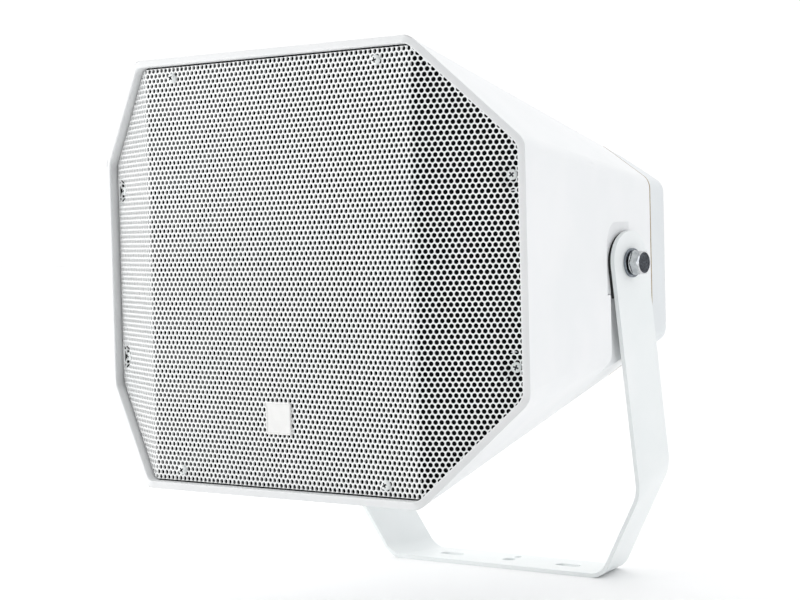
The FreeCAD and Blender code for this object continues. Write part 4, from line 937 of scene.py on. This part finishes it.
def pivot_bolts():
    """Hex bolt through each arm, with a chamfered head and a dull sunk end that carries a painted dark
    reflection.
    """
    points = turned([(BOLT_RADIUS, -BOLT_REACH), (BOLT_RADIUS, HEX_START)], PIVOT_STEPS)
    angles = [2 * math.pi * step / PIVOT_STEPS for step in range(PIVOT_STEPS)]
    reaches = [HEX_FLATS / 2 / math.cos(angle % (math.pi / 3) - math.pi / 6) for angle in angles]
    points += [on_circle(reach, angle, HEX_START) for reach, angle in zip(reaches, angles)]
    fall = math.tan(math.radians(HEX_CHAMFER))
    points += [on_circle(reach, angle, HEX_TOP - (reach - HEX_CROWN) * fall)
               for reach, angle in zip(reaches, angles)]
    points += turned([(HEX_CROWN, HEX_TOP)], PIVOT_STEPS)
    faces = ring_faces(PIVOT_STEPS, len(points) // PIVOT_STEPS)
    new_piece("pivot_bolt_heads", *copies((points, faces), ARM_PLACES), ZINC, "speaker", "pivot_bolts",
              "screw_steel", smooth=20)
    end = turned([(HEX_CROWN, HEX_TOP), (END_RADIUS, HEX_TOP - END_SINK)], PIVOT_STEPS)
    faces = ring_faces(PIVOT_STEPS, 2) + [tuple(range(PIVOT_STEPS, 2 * PIVOT_STEPS))]
    # The sunk ends take the dark steel as a painted dark reflection
    new_piece("pivot_bolt_ends", *copies((end, faces), ARM_PLACES), SHADE_STEEL, "speaker", "pivot_bolts",
              "screw_steel", smooth=20)


# Studio

def white_world():
    """White surroundings, brightest behind the speaker and overhead, dimmest behind the camera."""
    world = bpy.data.worlds.new("studio_white")
    bpy.context.scene.world = world
    world.use_nodes = True
    tree = world.node_tree
    way = add(tree, "ShaderNodeTexCoord").outputs["Generated"]
    toward_camera = add(tree, "ShaderNodeVectorMath", {"operation": "DOT_PRODUCT"})
    tree.links.new(way, toward_camera.inputs[0])
    toward_camera.inputs[1].default_value = (0.62, -0.78, 0.04)
    wall = add(tree, "ShaderNodeMapRange",
               {"From Min": -1.0, "From Max": 1.0, "To Min": 1.02, "To Max": 0.03},
               Value=toward_camera.outputs["Value"])
    height = add(tree, "ShaderNodeSeparateXYZ", Vector=way)
    ceiling = add(tree, "ShaderNodeMapRange",
                  {"From Min": 0.0, "From Max": 1.0, "To Min": 0.0, "To Max": 0.8},
                  Value=height.outputs["Z"])
    both = add(tree, "ShaderNodeMath", {"operation": "ADD"})
    tree.links.new(wall.outputs["Result"], both.inputs[0])
    tree.links.new(ceiling.outputs["Result"], both.inputs[1])
    background = tree.nodes["Background"]
    background.inputs["Color"].default_value = linear("#FFFFFF")
    tree.links.new(both.outputs["Value"], background.inputs["Strength"])


def paper_floor():
    """Wide sheet of backdrop paper under the bracket."""
    reach = 12.0
    corners = [(-reach, -reach, 0), (reach, -reach, 0), (reach, reach, 0), (-reach, reach, 0)]
    mesh = bpy.data.meshes.new("floor")
    mesh.from_pydata(corners, [], [(0, 1, 2, 3)])
    mesh.materials.append(studio_paper())
    floor = bpy.data.objects.new("floor", mesh)
    bpy.context.scene.collection.objects.link(floor)


def softbox(name, place, size, watts, tint):
    """Square light that is turned to the pivot, with its place and size in metres."""
    light = bpy.data.lights.new(name, "AREA")
    light.shape = "SQUARE"
    light.size = size
    light.energy = watts
    light.color = linear(tint)[:3]
    lamp = bpy.data.objects.new(name, light)
    lamp.location = place
    lamp.rotation_euler = (PIVOT - lamp.location).to_track_quat("-Z", "Y").to_euler()
    bpy.context.scene.collection.objects.link(lamp)


def studio():
    """White surroundings and floor, a softbox at the front left and a weaker one at the right."""
    bpy.context.scene.view_settings.view_transform = "Standard"
    white_world()
    paper_floor()
    softbox("key_light", (-2.25, -1.86, 1.0), size=1.6, watts=32, tint="#FFFFFF")
    softbox("side_light", (2.95, 0.5, 0.85), size=1.6, watts=12, tint="#F4F8FF")


def camera():
    """Camera at the photograph's place: to the right of the front, nearly level with the horn's axis."""
    azimuth, elevation, roll = (math.radians(angle) for angle in (38.373, 2.054, -1.402))
    distance = 1.3165
    target = Vector((0.11344, FRONT_Y, AXIS_Z - 0.01708))
    back = Vector((math.sin(azimuth) * math.cos(elevation), -math.cos(azimuth) * math.cos(elevation),
                   math.sin(elevation)))
    level = Vector((math.cos(azimuth), math.sin(azimuth), 0))
    upright = back.cross(level)
    right = level * math.cos(roll) + upright * math.sin(roll)
    up = upright * math.cos(roll) - level * math.sin(roll)
    turn = Matrix((right, up, back)).transposed().to_4x4()
    lens = bpy.data.cameras.new("photo_camera")
    lens.sensor_width = 36
    lens.lens = 91.52
    view = bpy.data.objects.new("photo_camera", lens)
    view.matrix_world = Matrix.Translation(target + back * distance) @ turn
    bpy.context.scene.collection.objects.link(view)
    bpy.context.scene.camera = view


dress_nodes()
cabinet_shell()
cabinet_rim()
rear_cover()
cover_gasket()
friction_pads()
dust_screen()
perforated_grille()
grille_screws()
badge()
flat_washers()
spring_washers()
pivot_bolts()
studio()
camera()
